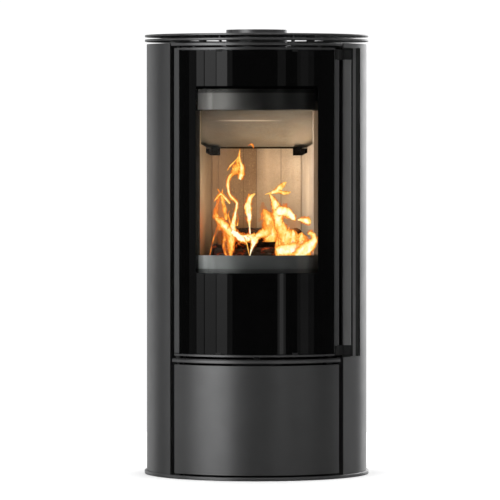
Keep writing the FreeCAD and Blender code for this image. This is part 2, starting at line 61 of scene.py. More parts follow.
# ---------------------------------------------------------------- materials
class Mat:
    """A node material with short helpers. Coordinates are metres in the stove's frame."""

    def __init__(self, name):
        self.m = bpy.data.materials.new(name)
        self.m.use_nodes = True
        self.t = self.m.node_tree
        self.t.nodes.clear()
        self.out = self.t.nodes.new("ShaderNodeOutputMaterial")
        self.bsdf = self.t.nodes.new("ShaderNodeBsdfPrincipled")
        self.t.links.new(self.bsdf.outputs[0], self.out.inputs["Surface"])
        self.co = self.t.nodes.new("ShaderNodeTexCoord").outputs["Object"]

    def link(self, a, b):
        self.t.links.new(a, b)

    def set(self, **kw):
        for k, v in kw.items():
            self.bsdf.inputs[k.replace("_", " ")].default_value = v
        return self

    def scaled(self, sx, sy, sz, co=None, rot=(0, 0, 0)):
        n = self.t.nodes.new("ShaderNodeMapping")
        n.inputs["Scale"].default_value = (sx, sy, sz)
        n.inputs["Rotation"].default_value = rot
        self.link(co or self.co, n.inputs["Vector"])
        return n.outputs[0]

    def noise(self, scale, detail=3.0, rough=0.55, co=None, distort=0.0):
        n = self.t.nodes.new("ShaderNodeTexNoise")
        n.inputs["Scale"].default_value = scale
        n.inputs["Detail"].default_value = detail
        n.inputs["Roughness"].default_value = rough
        n.inputs["Distortion"].default_value = distort
        self.link(co or self.co, n.inputs["Vector"])
        return n.outputs["Fac"]

    def voronoi(self, scale, feature="F1", co=None, out="Distance", random=1.0):
        n = self.t.nodes.new("ShaderNodeTexVoronoi")
        n.feature = feature
        n.inputs["Scale"].default_value = scale
        n.inputs["Randomness"].default_value = random
        self.link(co or self.co, n.inputs["Vector"])
        return n.outputs[out]

    def wave(self, scale, distort=0.0, direction="X", co=None, profile="SIN"):
        n = self.t.nodes.new("ShaderNodeTexWave")
        n.bands_direction = direction
        n.wave_profile = profile
        n.inputs["Scale"].default_value = scale
        n.inputs["Distortion"].default_value = distort
        self.link(co or self.co, n.inputs["Vector"])
        return n.outputs["Fac"]

    def ramp(self, fac, stops):
        n = self.t.nodes.new("ShaderNodeValToRGB")
        e = n.color_ramp.elements
        while len(e) < len(stops):
            e.new(0.5)
        for k, (p, c) in enumerate(stops):
            e[k].position = p
            e[k].color = (*c, 1.0) if len(c) == 3 else c
        self.link(fac, n.inputs["Fac"])
        return n.outputs["Color"]

    def range(self, fac, a, b, c, d):
        n = self.t.nodes.new("ShaderNodeMapRange")
        for k, v in zip(("From Min", "From Max", "To Min", "To Max"), (a, b, c, d)):
            n.inputs[k].default_value = v
        self.link(fac, n.inputs["Value"])
        return n.outputs["Result"]

    def math(self, op, a, b=None):
        n = self.t.nodes.new("ShaderNodeMath")
        n.operation = op
        for k, v in enumerate((a, b)):
            if v is None:
                continue
            if isinstance(v, (int, float)):
                n.inputs[k].default_value = v
            else:
                self.link(v, n.inputs[k])
        return n.outputs[0]

    def mix(self, fac, a, b, mode="MIX"):
        n = self.t.nodes.new("ShaderNodeMix")
        n.data_type = "RGBA"
        n.blend_type = mode
        for key, v in ((0, fac), (6, a), (7, b)):
            if isinstance(v, (int, float)):
                n.inputs[key].default_value = v
            elif isinstance(v, tuple):
                n.inputs[key].default_value = (*v, 1.0)
            else:
                self.link(v, n.inputs[key])
        return n.outputs[2]

    def axis(self, which):
        n = self.t.nodes.new("ShaderNodeSeparateXYZ")
        self.link(self.co, n.inputs[0])
        return n.outputs["XYZ".index(which)]

    def attr(self, name):
        n = self.t.nodes.new("ShaderNodeAttribute")
        n.attribute_name = name
        return n.outputs["Fac"]

    def bump(self, height, strength, distance):
        n = self.t.nodes.new("ShaderNodeBump")
        n.inputs["Strength"].default_value = strength
        n.inputs["Distance"].default_value = distance
        last = self.bsdf.inputs["Normal"].links
        if last:
            self.link(last[0].from_socket, n.inputs["Normal"])
        self.link(height, n.inputs["Height"])
        self.link(n.outputs[0], self.bsdf.inputs["Normal"])

    def to(self, socket, value):
        self.link(value, self.bsdf.inputs[socket])


def paint(name, dark, light, rough=(0.34, 0.44), grain=0.10, flake=0.0, lean=None, edges=()):
    """Satin heat-proof stove paint: a fine sprayed grain with faint cloudiness.

    lean = (x0, x1, tint) darkens the paint towards x0: painted shade;
    edges = (z0, z1, tint) darker bands along a sheet edge beside a gap: painted shade.
    """
    m = Mat(name).set(Metallic=flake)
    cloud = m.noise(5.0, 4.0, 0.6)
    speck = m.noise(900.0, 2.0, 0.7)
    both = m.math("ADD", m.math("MULTIPLY", cloud, 0.75), m.math("MULTIPLY", speck, 0.25))
    col = m.ramp(both, [(0.32, dark), (0.68, light)])
    # painted shade: the paint darkened towards x0
    if lean:
        col = m.mix(m.range(m.axis("X"), lean[0], lean[1], 1.0, 0.0), col, lean[2], "MULTIPLY")
    # painted shade: dark bands along sheet edges beside the gaps
    for z0, z1, tint in edges:
        band = m.math("MULTIPLY", m.range(m.axis("Z"), z0, z0 + 0.0008, 0.0, 1.0), m.range(m.axis("Z"), z1 - 0.0001, z1, 1.0, 0.0))
        col = m.mix(band, col, (tint, tint, tint), "MULTIPLY")
    m.to("Base Color", col)
    m.to("Roughness", m.range(m.noise(22.0, 5.0, 0.65), 0.3, 0.7, rough[0], rough[1]))
    m.bump(m.noise(1500.0, 2.0, 0.6), grain, 0.00025)
    m.bump(m.noise(160.0, 3.0, 0.5), 0.02, 0.0006)
    return m.m


def metal(name, dark, light, rough=(0.3, 0.45), stretch=(1, 1, 1), scale=400.0):
    """Bare or plated steel with a directional grain and dull spots."""
    m = Mat(name).set(Metallic=1.0)
    co = m.scaled(*stretch)
    m.to("Base Color", m.ramp(m.noise(14.0, 5.0, 0.6), [(0.3, dark), (0.7, light)]))
    m.to("Roughness", m.range(m.noise(scale, 4.0, 0.6, co), 0.3, 0.7, rough[0], rough[1]))
    m.bump(m.noise(scale, 3.0, 0.6, co), 0.05, 0.0003)
    return m.m


def vermiculite(name, dark, mid, light, soot=0.0, lean=None, joint=None, rear=None, painted_baffle_light_shade=False, front=None, low=None, seam=None, marks=()):
    """Pressed vermiculite board: packed flakes with golden flecks, and smoke marks.

    lean = (x0, x1, tint) darkens the board towards x0 along a ragged line: painted shade; joint = x of a dark corner
    joint;
    rear = z above which the board is painted near black, painted shade in the gap under the baffle; crease paints light
    and shade on the baffle: painted shade darkening it towards its top, a painted highlight line across it, painted
    light on its lower right corner and painted shade on its lower left;
    front = (tint, amount) paints the front end face of a side slab, on the curve behind the door, in tint: painted
    shade on the left slab, painted light on the right, and painted shade near black below z 0.508;
    low = (z0, z1, tint) darkens and tints the board towards z0: painted shade low in the firebox;
    seam = (x0, x1, tint) darkens the board towards the seam at x0, less so low down where the fire lights it: painted
    shade; marks = x of the fine upright scores.
    """
    m = Mat(name).set(**{"Specular_IOR_Level": 0.25})
    flake = m.voronoi(420.0, "F1", out="Color")
    bw = m.t.nodes.new("ShaderNodeRGBToBW")
    m.link(flake, bw.inputs[0])
    grainy = m.math("ADD", m.math("MULTIPLY", bw.outputs[0], 0.35), m.math("MULTIPLY", m.noise(9.0, 5.0, 0.6), 0.65))
    col = m.ramp(grainy, [(0.25, dark), (0.5, mid), (0.78, light)])
    fleck = m.range(m.noise(260.0, 2.0, 0.5), 0.62, 0.7, 0.0, 0.45)
    col = m.mix(fleck, col, (0.75, 0.6, 0.32))
    # painted shade: the board darkened towards x0
    if lean:
        side = m.math("ADD", m.axis("X"), m.range(m.noise(8.0, 3.0), 0.3, 0.7, -0.012, 0.012))
        col = m.mix(m.range(side, lean[0], lean[1], 1.0, 0.0), col, lean[2], "MULTIPLY")
    streak = m.range(m.noise(30.0, 2.0, 0.5, m.scaled(1.0, 1.0, 0.03)), 0.40, 0.62, 0.0, 0.16)
    col = m.mix(streak, col, (0.30, 0.22, 0.14))
    if soot:
        smoke = m.range(m.noise(7.0, 4.0, 0.65, m.scaled(1.0, 1.0, 0.35)), 0.42, 0.75, 0.0, soot)
        col = m.mix(smoke, col, (0.05, 0.042, 0.036))
    if joint is not None:
        gap = m.math("ABSOLUTE", m.math("SUBTRACT", m.axis("X"), joint))
        col = m.mix(m.range(gap, 0.0005, 0.0017, 0.60, 0.0), col, (0.10, 0.07, 0.045))
    # painted shade: the board darkened beside the centre seam, fading towards the bottom
    if seam:
        seam_shade_mask = m.math("MULTIPLY", m.range(m.axis("X"), seam[0], seam[1], 1.0, 0.0), m.range(m.axis("Z"), 0.660, 0.730, 0.1, 1.0))
        col = m.mix(seam_shade_mask, col, seam[2], "MULTIPLY")
    for x in marks:
        score = m.math("ABSOLUTE", m.math("SUBTRACT", m.axis("X"), x))
        col = m.mix(m.range(score, 0.0005, 0.0017, 0.42, 0.0), col, (0.16, 0.11, 0.07))
    # painted shade: the board near black above rear, in the gap under the baffle
    if rear is not None:
        col = m.mix(m.range(m.axis("Z"), rear - 0.0012, rear, 0.0, 1.0), col, (0.02, 0.016, 0.012))
    if painted_baffle_light_shade:
        # painted shade: the baffle darkened towards its top, away from the fire below
        col = m.mix(m.range(m.axis("Z"), 0.822, 0.885, 0.0, 0.90), col, (0.44, 0.44, 0.44), "MULTIPLY")
        # painted highlight: a pale line across the baffle at z 0.8645
        line = m.range(m.math("ABSOLUTE", m.math("SUBTRACT", m.axis("Z"), 0.8645)), 0.0006, 0.0024, 0.55, 0.0)
        line = m.math("MULTIPLY", line, m.range(m.math("ABSOLUTE", m.math("ADD", m.axis("X"), 0.018)), 0.035, 0.085, 1.0, 0.0))
        col = m.mix(line, col, (0.72, 0.70, 0.64))
        # painted light on the lower right corner and painted shade on the lower left corner
        lower = m.range(m.axis("Z"), 0.880, 0.815, 0.0, 1.0)
        col = m.mix(m.math("MULTIPLY", lower, m.range(m.axis("X"), 0.070, 0.128, 0.0, 0.70)), col, (0.93, 0.885, 0.78))
        col = m.mix(m.math("MULTIPLY", lower, m.range(m.axis("X"), -0.090, -0.126, 0.0, 0.95)), col, (0.30, 0.285, 0.245))
    # painted shade: the board darkened and tinted towards the bottom
    if low:
        col = m.mix(m.range(m.axis("Z"), low[0], low[1], 1.0, 0.0), col, low[2], "MULTIPLY")
    # painted light and shade: the front end face recoloured, and near black below z 0.508
    if front:
        flat = m.math("ADD", m.math("MULTIPLY", m.axis("X"), m.axis("X")), m.math("MULTIPLY", m.axis("Y"), m.axis("Y")))
        end = m.range(flat, 0.0563, 0.0567, 0.0, front[1])
        col = m.mix(end, col, front[0])
        col = m.mix(m.math("MULTIPLY", end, m.range(m.axis("Z"), 0.506, 0.510, 1.2, 0.0)), col, (0.02, 0.018, 0.016))
    m.to("Base Color", col)
    m.to("Roughness", m.range(m.noise(60.0, 3.0), 0.3, 0.7, 0.82, 0.95))
    m.bump(m.voronoi(420.0, "F1"), 0.25, 0.0012)
    m.bump(m.noise(90.0, 4.0, 0.6), 0.15, 0.002)
    return m.m


M = {}
M["casing"] = paint("casing_paint", (0.285, 0.286, 0.289), (0.335, 0.336, 0.339), (0.36, 0.42), 0.10, 0.965)
M["plate"] = paint("plate_paint", (0.285, 0.286, 0.289), (0.335, 0.336, 0.339), (0.34, 0.40), 0.10, 0.92)
# door_paint: painted shade darkening its right side, and a painted shade band along the door frame's lower edge
M["door"] = paint("door_paint", (0.250, 0.251, 0.254), (0.294, 0.295, 0.298), (0.34, 0.40), 0.10, 0.92, (0.190, -0.150, (0.80, 0.80, 0.80)), ((0.3010, 0.3042, 0.25),))
# ledge_paint: two bands of painted shade along its edges, beside the gaps to the doors
M["ledge"] = paint("ledge_paint", (0.285, 0.286, 0.289), (0.335, 0.336, 0.339), (0.34, 0.40), 0.10, 0.92, None, ((0.2872, 0.2904, 0.40), (0.2790, 0.2822, 0.45)))
M["black"] = paint("stove_black", (0.010, 0.010, 0.010), (0.020, 0.020, 0.020), (0.45, 0.6))
M["handle"] = paint("handle_paint", (0.62, 0.62, 0.615), (0.70, 0.70, 0.695), (0.32, 0.4), 0.10, 0.92)
M["handle_black"] = paint("handle_arm_black", (0.011, 0.011, 0.011), (0.018, 0.018, 0.018), (0.35, 0.5))
M["soot_black"] = paint("soot_black", (0.004, 0.004, 0.0035), (0.009, 0.008, 0.007), (0.75, 0.9), 0.3)
[n for n in M["soot_black"].node_tree.nodes if n.type == "BSDF_PRINCIPLED"][0].inputs["Specular IOR Level"].default_value = 0.03
M["zinc"] = metal("zinc_sheet", (0.42, 0.43, 0.44), (0.58, 0.59, 0.60), (0.35, 0.55), (1, 1, 1), 60.0)
M["steel"] = metal("turned_steel", (0.34, 0.34, 0.35), (0.5, 0.5, 0.51), (0.25, 0.4), (1, 1, 8))
M["iron"] = paint("cast_iron", (0.02, 0.019, 0.018), (0.045, 0.042, 0.04), (0.55, 0.75), 0.5)
# The lining slabs are one vermiculite board in lit and shaded copies: the left slabs' darker base colours are painted
# shade, the right slabs' paler ones painted light; their lean, low, front, seam, rear and crease arguments paint more
# shade and light.
M["verm_left"] = vermiculite("vermiculite_left_painted_shade", (0.19, 0.145, 0.095), (0.245, 0.19, 0.132), (0.31, 0.245, 0.178), 0.2, front=((0.12, 0.10, 0.076), 0.85), low=(0.535, 0.640, (0.40, 0.36, 0.20)))
M["verm_right"] = vermiculite("vermiculite_right_painted_light", (0.60, 0.575, 0.53), (0.69, 0.665, 0.62), (0.77, 0.745, 0.70), 0.06, front=((0.62, 0.46, 0.31), 0.8), low=(0.55, 0.78, (0.52, 0.565, 0.61)))
M["verm_back_l"] = vermiculite("vermiculite_back_left_painted_shade", (0.30, 0.22, 0.15), (0.38, 0.28, 0.19), (0.47, 0.36, 0.25), 0.22, None, -0.1105, 0.7962, low=(0.560, 0.650, (0.50, 0.38, 0.26)), seam=(0.0, -0.045, (0.74, 0.72, 0.70)), marks=(-0.0948, -0.0325))
M["verm_back_r"] = vermiculite("vermiculite_back_right_painted_light", (0.74, 0.67, 0.57), (0.86, 0.79, 0.68), (0.95, 0.885, 0.78), 0.05, (-0.005, 0.085, (0.80, 0.76, 0.71)), 0.1105, 0.7962, low=(0.650, 0.750, (0.62, 0.60, 0.58)), seam=(0.0, 0.026, (0.54, 0.51, 0.48)), marks=(0.0605,))
M["verm_baffle"] = vermiculite("vermiculite_baffle", (0.355, 0.35, 0.315), (0.435, 0.43, 0.388), (0.52, 0.515, 0.465), 0.10, (-0.14, 0.125, (0.29, 0.295, 0.295)), None, None, True)
M["verm_floor"] = vermiculite("vermiculite_floor", (0.16, 0.14, 0.12), (0.24, 0.21, 0.18), (0.33, 0.29, 0.25), 0.6)


def weave(name):
    """Knitted glass-fibre rope."""
    m = Mat(name).set(**{"Specular_IOR_Level": 0.2})
    a = m.wave(260.0, 1.0, "DIAGONAL")
    b = m.wave(260.0, 1.0, "Z")
    knit = m.math("MULTIPLY", a, b)
    m.to("Base Color", m.ramp(knit, [(0.0, (0.03, 0.03, 0.03)), (1.0, (0.14, 0.135, 0.13))]))
    m.to("Roughness", m.range(m.noise(90.0), 0.3, 0.7, 0.8, 0.95))
    m.bump(knit, 0.6, 0.0012)
    return m.m


M["rope"] = weave("rope_seal")


def guard_steel():
    """Bent steel strip: a painted highlight at its left end and a paler right end, painted shade on its lower band and
    at its far left end.
    """
    m = Mat("log_guard_steel")
    side = m.math("ADD", m.axis("X"), m.range(m.noise(6.0, 3.0), 0.3, 0.7, -0.008, 0.008))
    # painted highlight: near white and less metallic at the left end where the left soft light reflects, dark across
    # the middle, paler to the right end as painted light
    col = m.ramp(m.range(side, -0.15, 0.15, 0.0, 1.0), [(0.0, (0.88, 0.90, 0.88)), (0.06, (0.88, 0.90, 0.88)), (0.10, (0.46, 0.473, 0.46)), (0.16, (0.25, 0.257, 0.25)), (0.30, (0.24, 0.247, 0.24)), (0.45, (0.21, 0.214, 0.21)),
                                                       (0.88, (0.165, 0.167, 0.165)), (0.92, (0.20, 0.203, 0.20)), (0.945, (0.30, 0.304, 0.30)), (1.0, (0.36, 0.365, 0.36))])
    col = m.mix(m.range(m.noise(14.0, 4.0, 0.6), 0.35, 0.65, 0.0, 0.14), col, (0.6, 0.6, 0.6), "MULTIPLY")
    # painted shade on the lower band of the strip
    shade_below = m.math("MULTIPLY", m.range(m.axis("Z"), 0.5065, 0.5085, 1.0, 0.0), m.range(side, -0.125, -0.05, 1.0, 0.42))
    col = m.mix(shade_below, col, (0.42, 0.42, 0.42), "MULTIPLY")
    # painted shade at the far left end, beside the side wall
    col = m.mix(m.range(m.axis("X"), -0.1410, -0.1385, 1.0, 0.0), col, (0.12, 0.12, 0.12), "MULTIPLY")
    m.to("Metallic", m.range(side, -0.133, -0.122, 0.15, 0.95))
    m.to("Base Color", col)
    m.to("Roughness", m.math("ADD", m.range(m.noise(30.0, 4.0), 0.3, 0.7, 0.36, 0.42), m.range(side, -0.148, -0.110, 0.34, 0.0)))
    m.bump(m.noise(900.0, 2.0, 0.6), 0.08, 0.00025)
    return m.m


M["guard"] = guard_steel()


def deflector_painted_highlight():
    """Deflector behind the top of the window: a painted highlight, pale and less metallic, on the left where the left
    soft light reflects, fading to painted shade, darker towards the right.
    """
    m = Mat("deflector_painted_highlight")
    side = m.math("ADD", m.axis("X"), m.range(m.noise(6.0, 3.0), 0.3, 0.7, -0.008, 0.008))
    # painted highlight at the left end, painted shade darkening towards the right
    col = m.ramp(m.range(side, -0.15, 0.15, 0.0, 1.0), [(0.0, (0.88, 0.84, 0.79)), (0.08, (0.93, 0.89, 0.84)), (0.16, (0.205, 0.198, 0.186)), (0.42, (0.19, 0.184, 0.175)),
                                                       (0.55, (0.10, 0.098, 0.094)), (0.75, (0.065, 0.064, 0.062)), (1.0, (0.06, 0.06, 0.059))])
    col = m.mix(m.range(m.noise(14.0, 4.0, 0.6), 0.35, 0.65, 0.0, 0.14), col, (0.6, 0.6, 0.6), "MULTIPLY")
    # a darker line across it at z 0.930 to 0.932
    col = m.mix(m.range(m.axis("Z"), 0.9296, 0.9324, 0.0, 1.0), col, (0.35, 0.35, 0.35), "MULTIPLY")
    m.to("Base Color", col)
    m.to("Roughness", m.math("ADD", m.range(m.noise(30.0, 4.0), 0.3, 0.7, 0.31, 0.37), m.range(side, -0.142, -0.105, 0.36, 0.0)))
    m.to("Metallic", m.range(side, -0.127, -0.109, 0.12, 0.95))
    m.bump(m.noise(900.0, 2.0, 0.6), 0.08, 0.00025)
    return m.m


M["inner_steel"] = deflector_painted_highlight()


def recess_paint():
    """Inside of the handle recess: dark paint, with a painted highlight on the front lip and painted shade on the
    liner's forward part.
    """
    m = Mat("recess_paint").set(Metallic=0.9)
    # painted highlight: the front lip painted pale
    lip_highlight = m.math("MULTIPLY", m.range(m.axis("Y"), -0.1085, -0.1075, 1.0, 0.0), m.range(m.axis("X"), 0.226, 0.231, 0.0, 1.0))
    col = m.ramp(m.noise(12.0, 4.0, 0.6), [(0.3, (0.155, 0.155, 0.15)), (0.7, (0.20, 0.20, 0.195))])
    # painted shade: the liner darkened towards its front
    col = m.mix(m.range(m.axis("Y"), -0.1450, -0.1300, 1.0, 0.0), col, (0.28, 0.28, 0.28), "MULTIPLY")
    m.to("Base Color", m.mix(lip_highlight, col, (0.74, 0.74, 0.74)))
    m.to("Roughness", m.range(m.noise(60.0), 0.3, 0.7, 0.40, 0.50))
    m.bump(m.noise(1500.0, 2.0, 0.6), 0.1, 0.00025)
    return m.m


M["recess"] = recess_paint()


def magnet():
    m = Mat("magnet_housing")
    m.to("Base Color", m.ramp(m.noise(40.0), [(0.3, (0.02, 0.02, 0.02)), (0.7, (0.035, 0.035, 0.035))]))
    m.to("Roughness", m.range(m.noise(300.0), 0.3, 0.7, 0.45, 0.6))
    m.bump(m.noise(700.0), 0.1, 0.0003)
    return m.m


M["magnet"] = magnet()

use = {
    "casing": ["left_side_panel", "right_side_panel", "rear_panel", "lower_door_panel"],
    "plate": ["base_plate", "top_plate", "convection_ring", "header_ring", "top_spacers", "header_posts", "flue_spigot"],
    "ledge": ["ledge_plate"],
    "door": ["door_frame", "front_frame"],
    "black": ["glass_clips", "air_damper", "damper_pivot", "lower_hinge_pin", "middle_hinge_pin", "upper_hinge_pin", "hinge_washers",
              "firebox_left_wall", "firebox_right_wall", "firebox_back_wall", "firebox_top", "firebox_floor", "ash_pan_shelf",
              ],
    "soot_black": ["baffle_brackets"],
    "inner_steel": ["airwash_deflector"],
    "guard": ["log_guard"],
    "recess": ["handle_recess_liner"],
    "zinc": ["compartment_left_wall", "compartment_right_wall", "compartment_back_wall", "air_duct", "air_inlet_spigot",
             "rear_heat_shield", "ash_pan"],
    "verm_left": ["lining_left"],
    "verm_right": ["lining_right"],
    "verm_back_l": ["lining_back_left"],
    "verm_back_r": ["lining_back_right"],
    "verm_baffle": ["baffle_plate"],
    "verm_floor": ["floor_bricks"],
    "steel": ["handle_pivot_pins", "levelling_screws", "rear_panel_screws",
              "top_studs", "latch_hooks", "latch_keepers", "catch_strike", "lower_door_hinge_blocks"],
    "iron": ["grate"],
    "rope": ["door_seal", "glass_gasket"],
    "magnet": ["magnet_catch"],
    "handle": ["handle_bar"],
    "handle_black": ["lower_handle_arm", "upper_handle_arm"],
}


def dress(obj, mat):
    if not obj.material_slots:
        obj.data.materials.append(mat)
    for s in obj.material_slots:
        s.material = mat


for key, names in use.items():
    for n in names:
        dress(NODE[n], M[key])


# ------------------------------------------------------------------ helpers
def link(name, mesh):
    o = bpy.data.objects.new(name, mesh)
    scene.collection.objects.link(o)
    return o


def mesh_of(name, bm, smooth=True):
    bmesh.ops.recalc_face_normals(bm, faces=bm.faces)
    me = bpy.data.meshes.new(name)
    bm.to_mesh(me)
    bm.free()
    for p in me.polygons:
        p.use_smooth = smooth
    if smooth:
        me.set_sharp_from_angle(angle=math.radians(38))
    return me


def on_arc(r, ang, z):
    a = math.radians(ang)
    return (r * math.sin(a), -r * math.cos(a), z)


# --------------------------------------------------------------- door glass
def curved_pane(name, r0, r1, half, z0, z1, hole=None, steps=96):
    """A curved slab between two radii, with an optional window (half angle, z0, z1)."""
    bm = bmesh.new()
    angs = [-half + 2 * half * k / steps for k in range(steps + 1)]
    zs = [z0, z1]
    if hole:
        hh, h0, h1 = hole
        angs = sorted(set([a for a in angs if abs(abs(a) - hh) > 0.2] + [-hh, hh]))
        zs = [z0, h0, h1, z1]
    grid = {}
    for side, r in ((0, r0), (1, r1)):
        for i, a in enumerate(angs):
            for j, z in enumerate(zs):
                grid[side, i, j] = bm.verts.new(on_arc(r, a, z))
    quads = set()
    for i in range(len(angs) - 1):
        for j in range(len(zs) - 1):
            mid = 0.5 * (angs[i] + angs[i + 1])
            if hole and abs(mid) < hole[0] and j == 1:
                continue
            quads.add((i, j))
    for i, j in quads:
        for side in (0, 1):
            q = [grid[side, i, j], grid[side, i + 1, j], grid[side, i + 1, j + 1], grid[side, i, j + 1]]
            bm.faces.new(q if side else q[::-1])
        for di, dj, e in ((-1, 0, ((i, j), (i, j + 1))), (1, 0, ((i + 1, j), (i + 1, j + 1))),
                          (0, -1, ((i, j), (i + 1, j))), (0, 1, ((i, j + 1), (i + 1, j + 1)))):
            if (i + di, j + dj) not in quads:
                (a0, b0), (a1, b1) = e
                bm.faces.new([grid[0, a0, b0], grid[0, a1, b1], grid[1, a1, b1], grid[1, a0, b0]])
    loose = [v for v in bm.verts if not v.link_faces]
    bmesh.ops.delete(bm, geom=loose, context="VERTS")
    o = link(name, mesh_of(name, bm, True))
    mod = o.modifiers.new("edge", "BEVEL")
    mod.width, mod.segments, mod.limit_method, mod.angle_limit = 0.0006, 2, "ANGLE", math.radians(40)
    mod.harden_normals = True
    return o


def glass_material():
    m = Mat("ceramic_glass").set(Base_Color=(0.96, 0.97, 0.97, 1.0), IOR=1.14, Transmission_Weight=1.0)
    m.to("Roughness", m.range(m.noise(3.0, 4.0), 0.35, 0.75, 0.0, 0.004))
    return m.m


def print_material():
    m = Mat("black_glass_print")
    m.to("Base Color", m.ramp(m.noise(30.0), [(0.3, (0.0008, 0.0008, 0.0009)), (0.7, (0.0015, 0.0015, 0.0016))]))
    m.to("Roughness", m.range(m.noise(3.0, 4.0), 0.35, 0.75, 0.015, 0.035))
    line = m.math("MULTIPLY", m.range(m.axis("Z"), 0.9464, 0.9482, 1.0, 0.0), m.range(m.axis("Z"), 0.930, 0.935, 0.0, 1.0))
    line = m.math("MULTIPLY", line, m.range(m.math("ABSOLUTE", m.axis("X")), 0.1455, 0.1470, 1.0, 0.0))
    gloss = m.range(m.axis("Z"), 0.47, 0.62, 0.235, 0.34)
    m.to("Specular IOR Level", m.math("MULTIPLY", gloss, m.range(line, 0.0, 1.0, 1.0, 0.0)))
    return m.m


WIN_HALF = math.degrees(math.asin(147.0 / 268.0))
pane = curved_pane("door_glass_pane", 0.2643, 0.2680, 43.75, 0.303, 1.0335)
dress(pane, glass_material())
border = curved_pane("door_glass_print", 0.26802, 0.26818, 43.7, 0.3035, 1.0330, hole=(WIN_HALF, 0.498, 0.9403))
dress(border, print_material())
for o in (pane, border):
    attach(o, DOOR)
    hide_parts("door_glass")

# ---------------------------------------------------------------- rope seal
def rope_seal():
    """Knitted rope pressed flat round the back of the door, one closed loop with rounded corners."""
    rm, half, z0, z1, corner = 0.25125, math.radians(42.8), 0.307, 1.029, 0.014
    w = half * rm
    path = []
    for cx, cz, a0 in ((w - corner, z1 - corner, 0.0), (-w + corner, z1 - corner, 90.0), (-w + corner, z0 + corner, 180.0), (w - corner, z0 + corner, 270.0)):
        for k in range(11):
            a = math.radians(a0 + 9.0 * k)
            path.append((cx + corner * math.cos(a), cz + corner * math.sin(a)))
    step, loop = 0.0016, []
    for (xa, za), (xb, zb) in zip(path, path[1:] + path[:1]):
        n = max(1, round(math.hypot(xb - xa, zb - za) / step))
        loop += [(xa + (xb - xa) * k / n, za + (zb - za) * k / n) for k in range(n)]
    total = len(loop)
    plaits = round(total * step / 0.011)
    bm = bmesh.new()
    rings = []
    around = 18
    for i, (x, z) in enumerate(loop):
        (xa, za), (xb, zb) = loop[i - 1], loop[(i + 1) % total]
        t = Vector((xb - xa, zb - za)).normalized()
        side = Vector((-t.y, t.x))
        turn = 2 * math.pi * plaits * i / total
        ring = []
        for k in range(around):
            a = 2 * math.pi * k / around
            knit = max(math.cos(4 * a + turn), math.cos(4 * a - turn))
            g = 0.86 + 0.14 * knit
            u = 0.0047 * g * math.cos(a)
            r = rm + 0.00262 * g * math.sin(a)
            q = (x + side.x * u) / rm
            ring.append(bm.verts.new((r * math.sin(q), -r * math.cos(q), z + side.y * u)))
        rings.append(ring)
    for a, b in zip(rings, rings[1:] + rings[:1]):
        for k in range(around):
            bm.faces.new((a[k], a[(k + 1) % around], b[(k + 1) % around], b[k]))
    o = link("door_rope_seal", mesh_of("door_rope_seal", bm, True))
    dress(o, M["rope"])
    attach(o, DOOR)
    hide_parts("door_seal")


rope_seal()

# --------------------------------------------------------------- fuel bed
def attribute(mesh, name, values):
    a = mesh.attributes.new(name, "FLOAT", "POINT")
    a.data.foreach_set("value", values)


def char_material():
    """Charred wood: black scales, grey ash on the high spots, glowing cracks."""
    m = Mat("charred_wood").set(**{"Specular_IOR_Level": 0.2})
    crack = m.attr("crack")
    ash = m.range(m.noise(38.0, 6.0, 0.7), 0.46, 0.68, 0.0, 1.0)
    ash = m.math("MULTIPLY", ash, m.range(crack, 0.0, 0.35, 0.75, 0.0))
    grain = m.noise(55.0, 5.0, 0.65)
    col = m.ramp(grain, [(0.25, (0.004, 0.003, 0.003)), (0.6, (0.011, 0.008, 0.006)), (0.85, (0.030, 0.018, 0.011))])
    m.to("Base Color", m.mix(ash, col, (0.080, 0.064, 0.050)))
    m.to("Roughness", m.range(grain, 0.3, 0.7, 0.75, 0.95))
    glow = m.math("MULTIPLY", m.range(crack, 0.35, 0.95, 0.0, 1.0), m.range(m.noise(24.0, 3.0, 0.6), 0.50, 0.70, 0.0, 1.0))
    m.to("Emission Color", m.ramp(glow, [(0.0, (0, 0, 0)), (0.25, (0.22, 0.012, 0.001)), (0.6, (0.9, 0.13, 0.01)), (1.0, (1.0, 0.42, 0.08))]))
    m.set(Emission_Strength=0.55)
    m.bump(m.noise(240.0, 4.0, 0.65), 0.5, 0.0015)
    m.m.cycles.emission_sampling = "NONE"
    return m.m


def ember_material():
    """Ash and glowing coals."""
    m = Mat("ash_and_embers").set(**{"Specular_IOR_Level": 0.15})
    lump = m.attr("lump")
    speck = m.noise(170.0, 5.0, 0.7)
    col = m.ramp(speck, [(0.25, (0.035, 0.032, 0.03)), (0.5, (0.16, 0.15, 0.14)), (0.8, (0.40, 0.385, 0.37))])
    col = m.mix(m.range(m.noise(30.0, 4.0), 0.4, 0.65, 0.0, 0.8), col, (0.015, 0.013, 0.012))
    m.to("Base Color", col)
    m.to("Roughness", m.range(speck, 0.3, 0.7, 0.85, 0.98))
    hot = m.math("MULTIPLY", m.range(lump, 0.15, 0.75, 0.0, 1.0), m.range(m.noise(46.0, 4.0, 0.65), 0.45, 0.68, 0.0, 1.0))
    m.to("Emission Color", m.ramp(hot, [(0.0, (0, 0, 0)), (0.2, (0.25, 0.014, 0.001)), (0.55, (0.95, 0.16, 0.015)), (1.0, (1.0, 0.5, 0.1))]))
    m.set(Emission_Strength=1.5)
    m.bump(speck, 0.5, 0.002)
    m.m.cycles.emission_sampling = "NONE"
    return m.m


CHAR, EMBER = char_material(), ember_material()


def fuel(name, bm, mat, attr_name, values, sharp=True):
    me = mesh_of(name, bm, True)
    attribute(me, attr_name, values)
    o = link(name, me)
    dress(o, mat)
    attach(o, BODY)
    return o


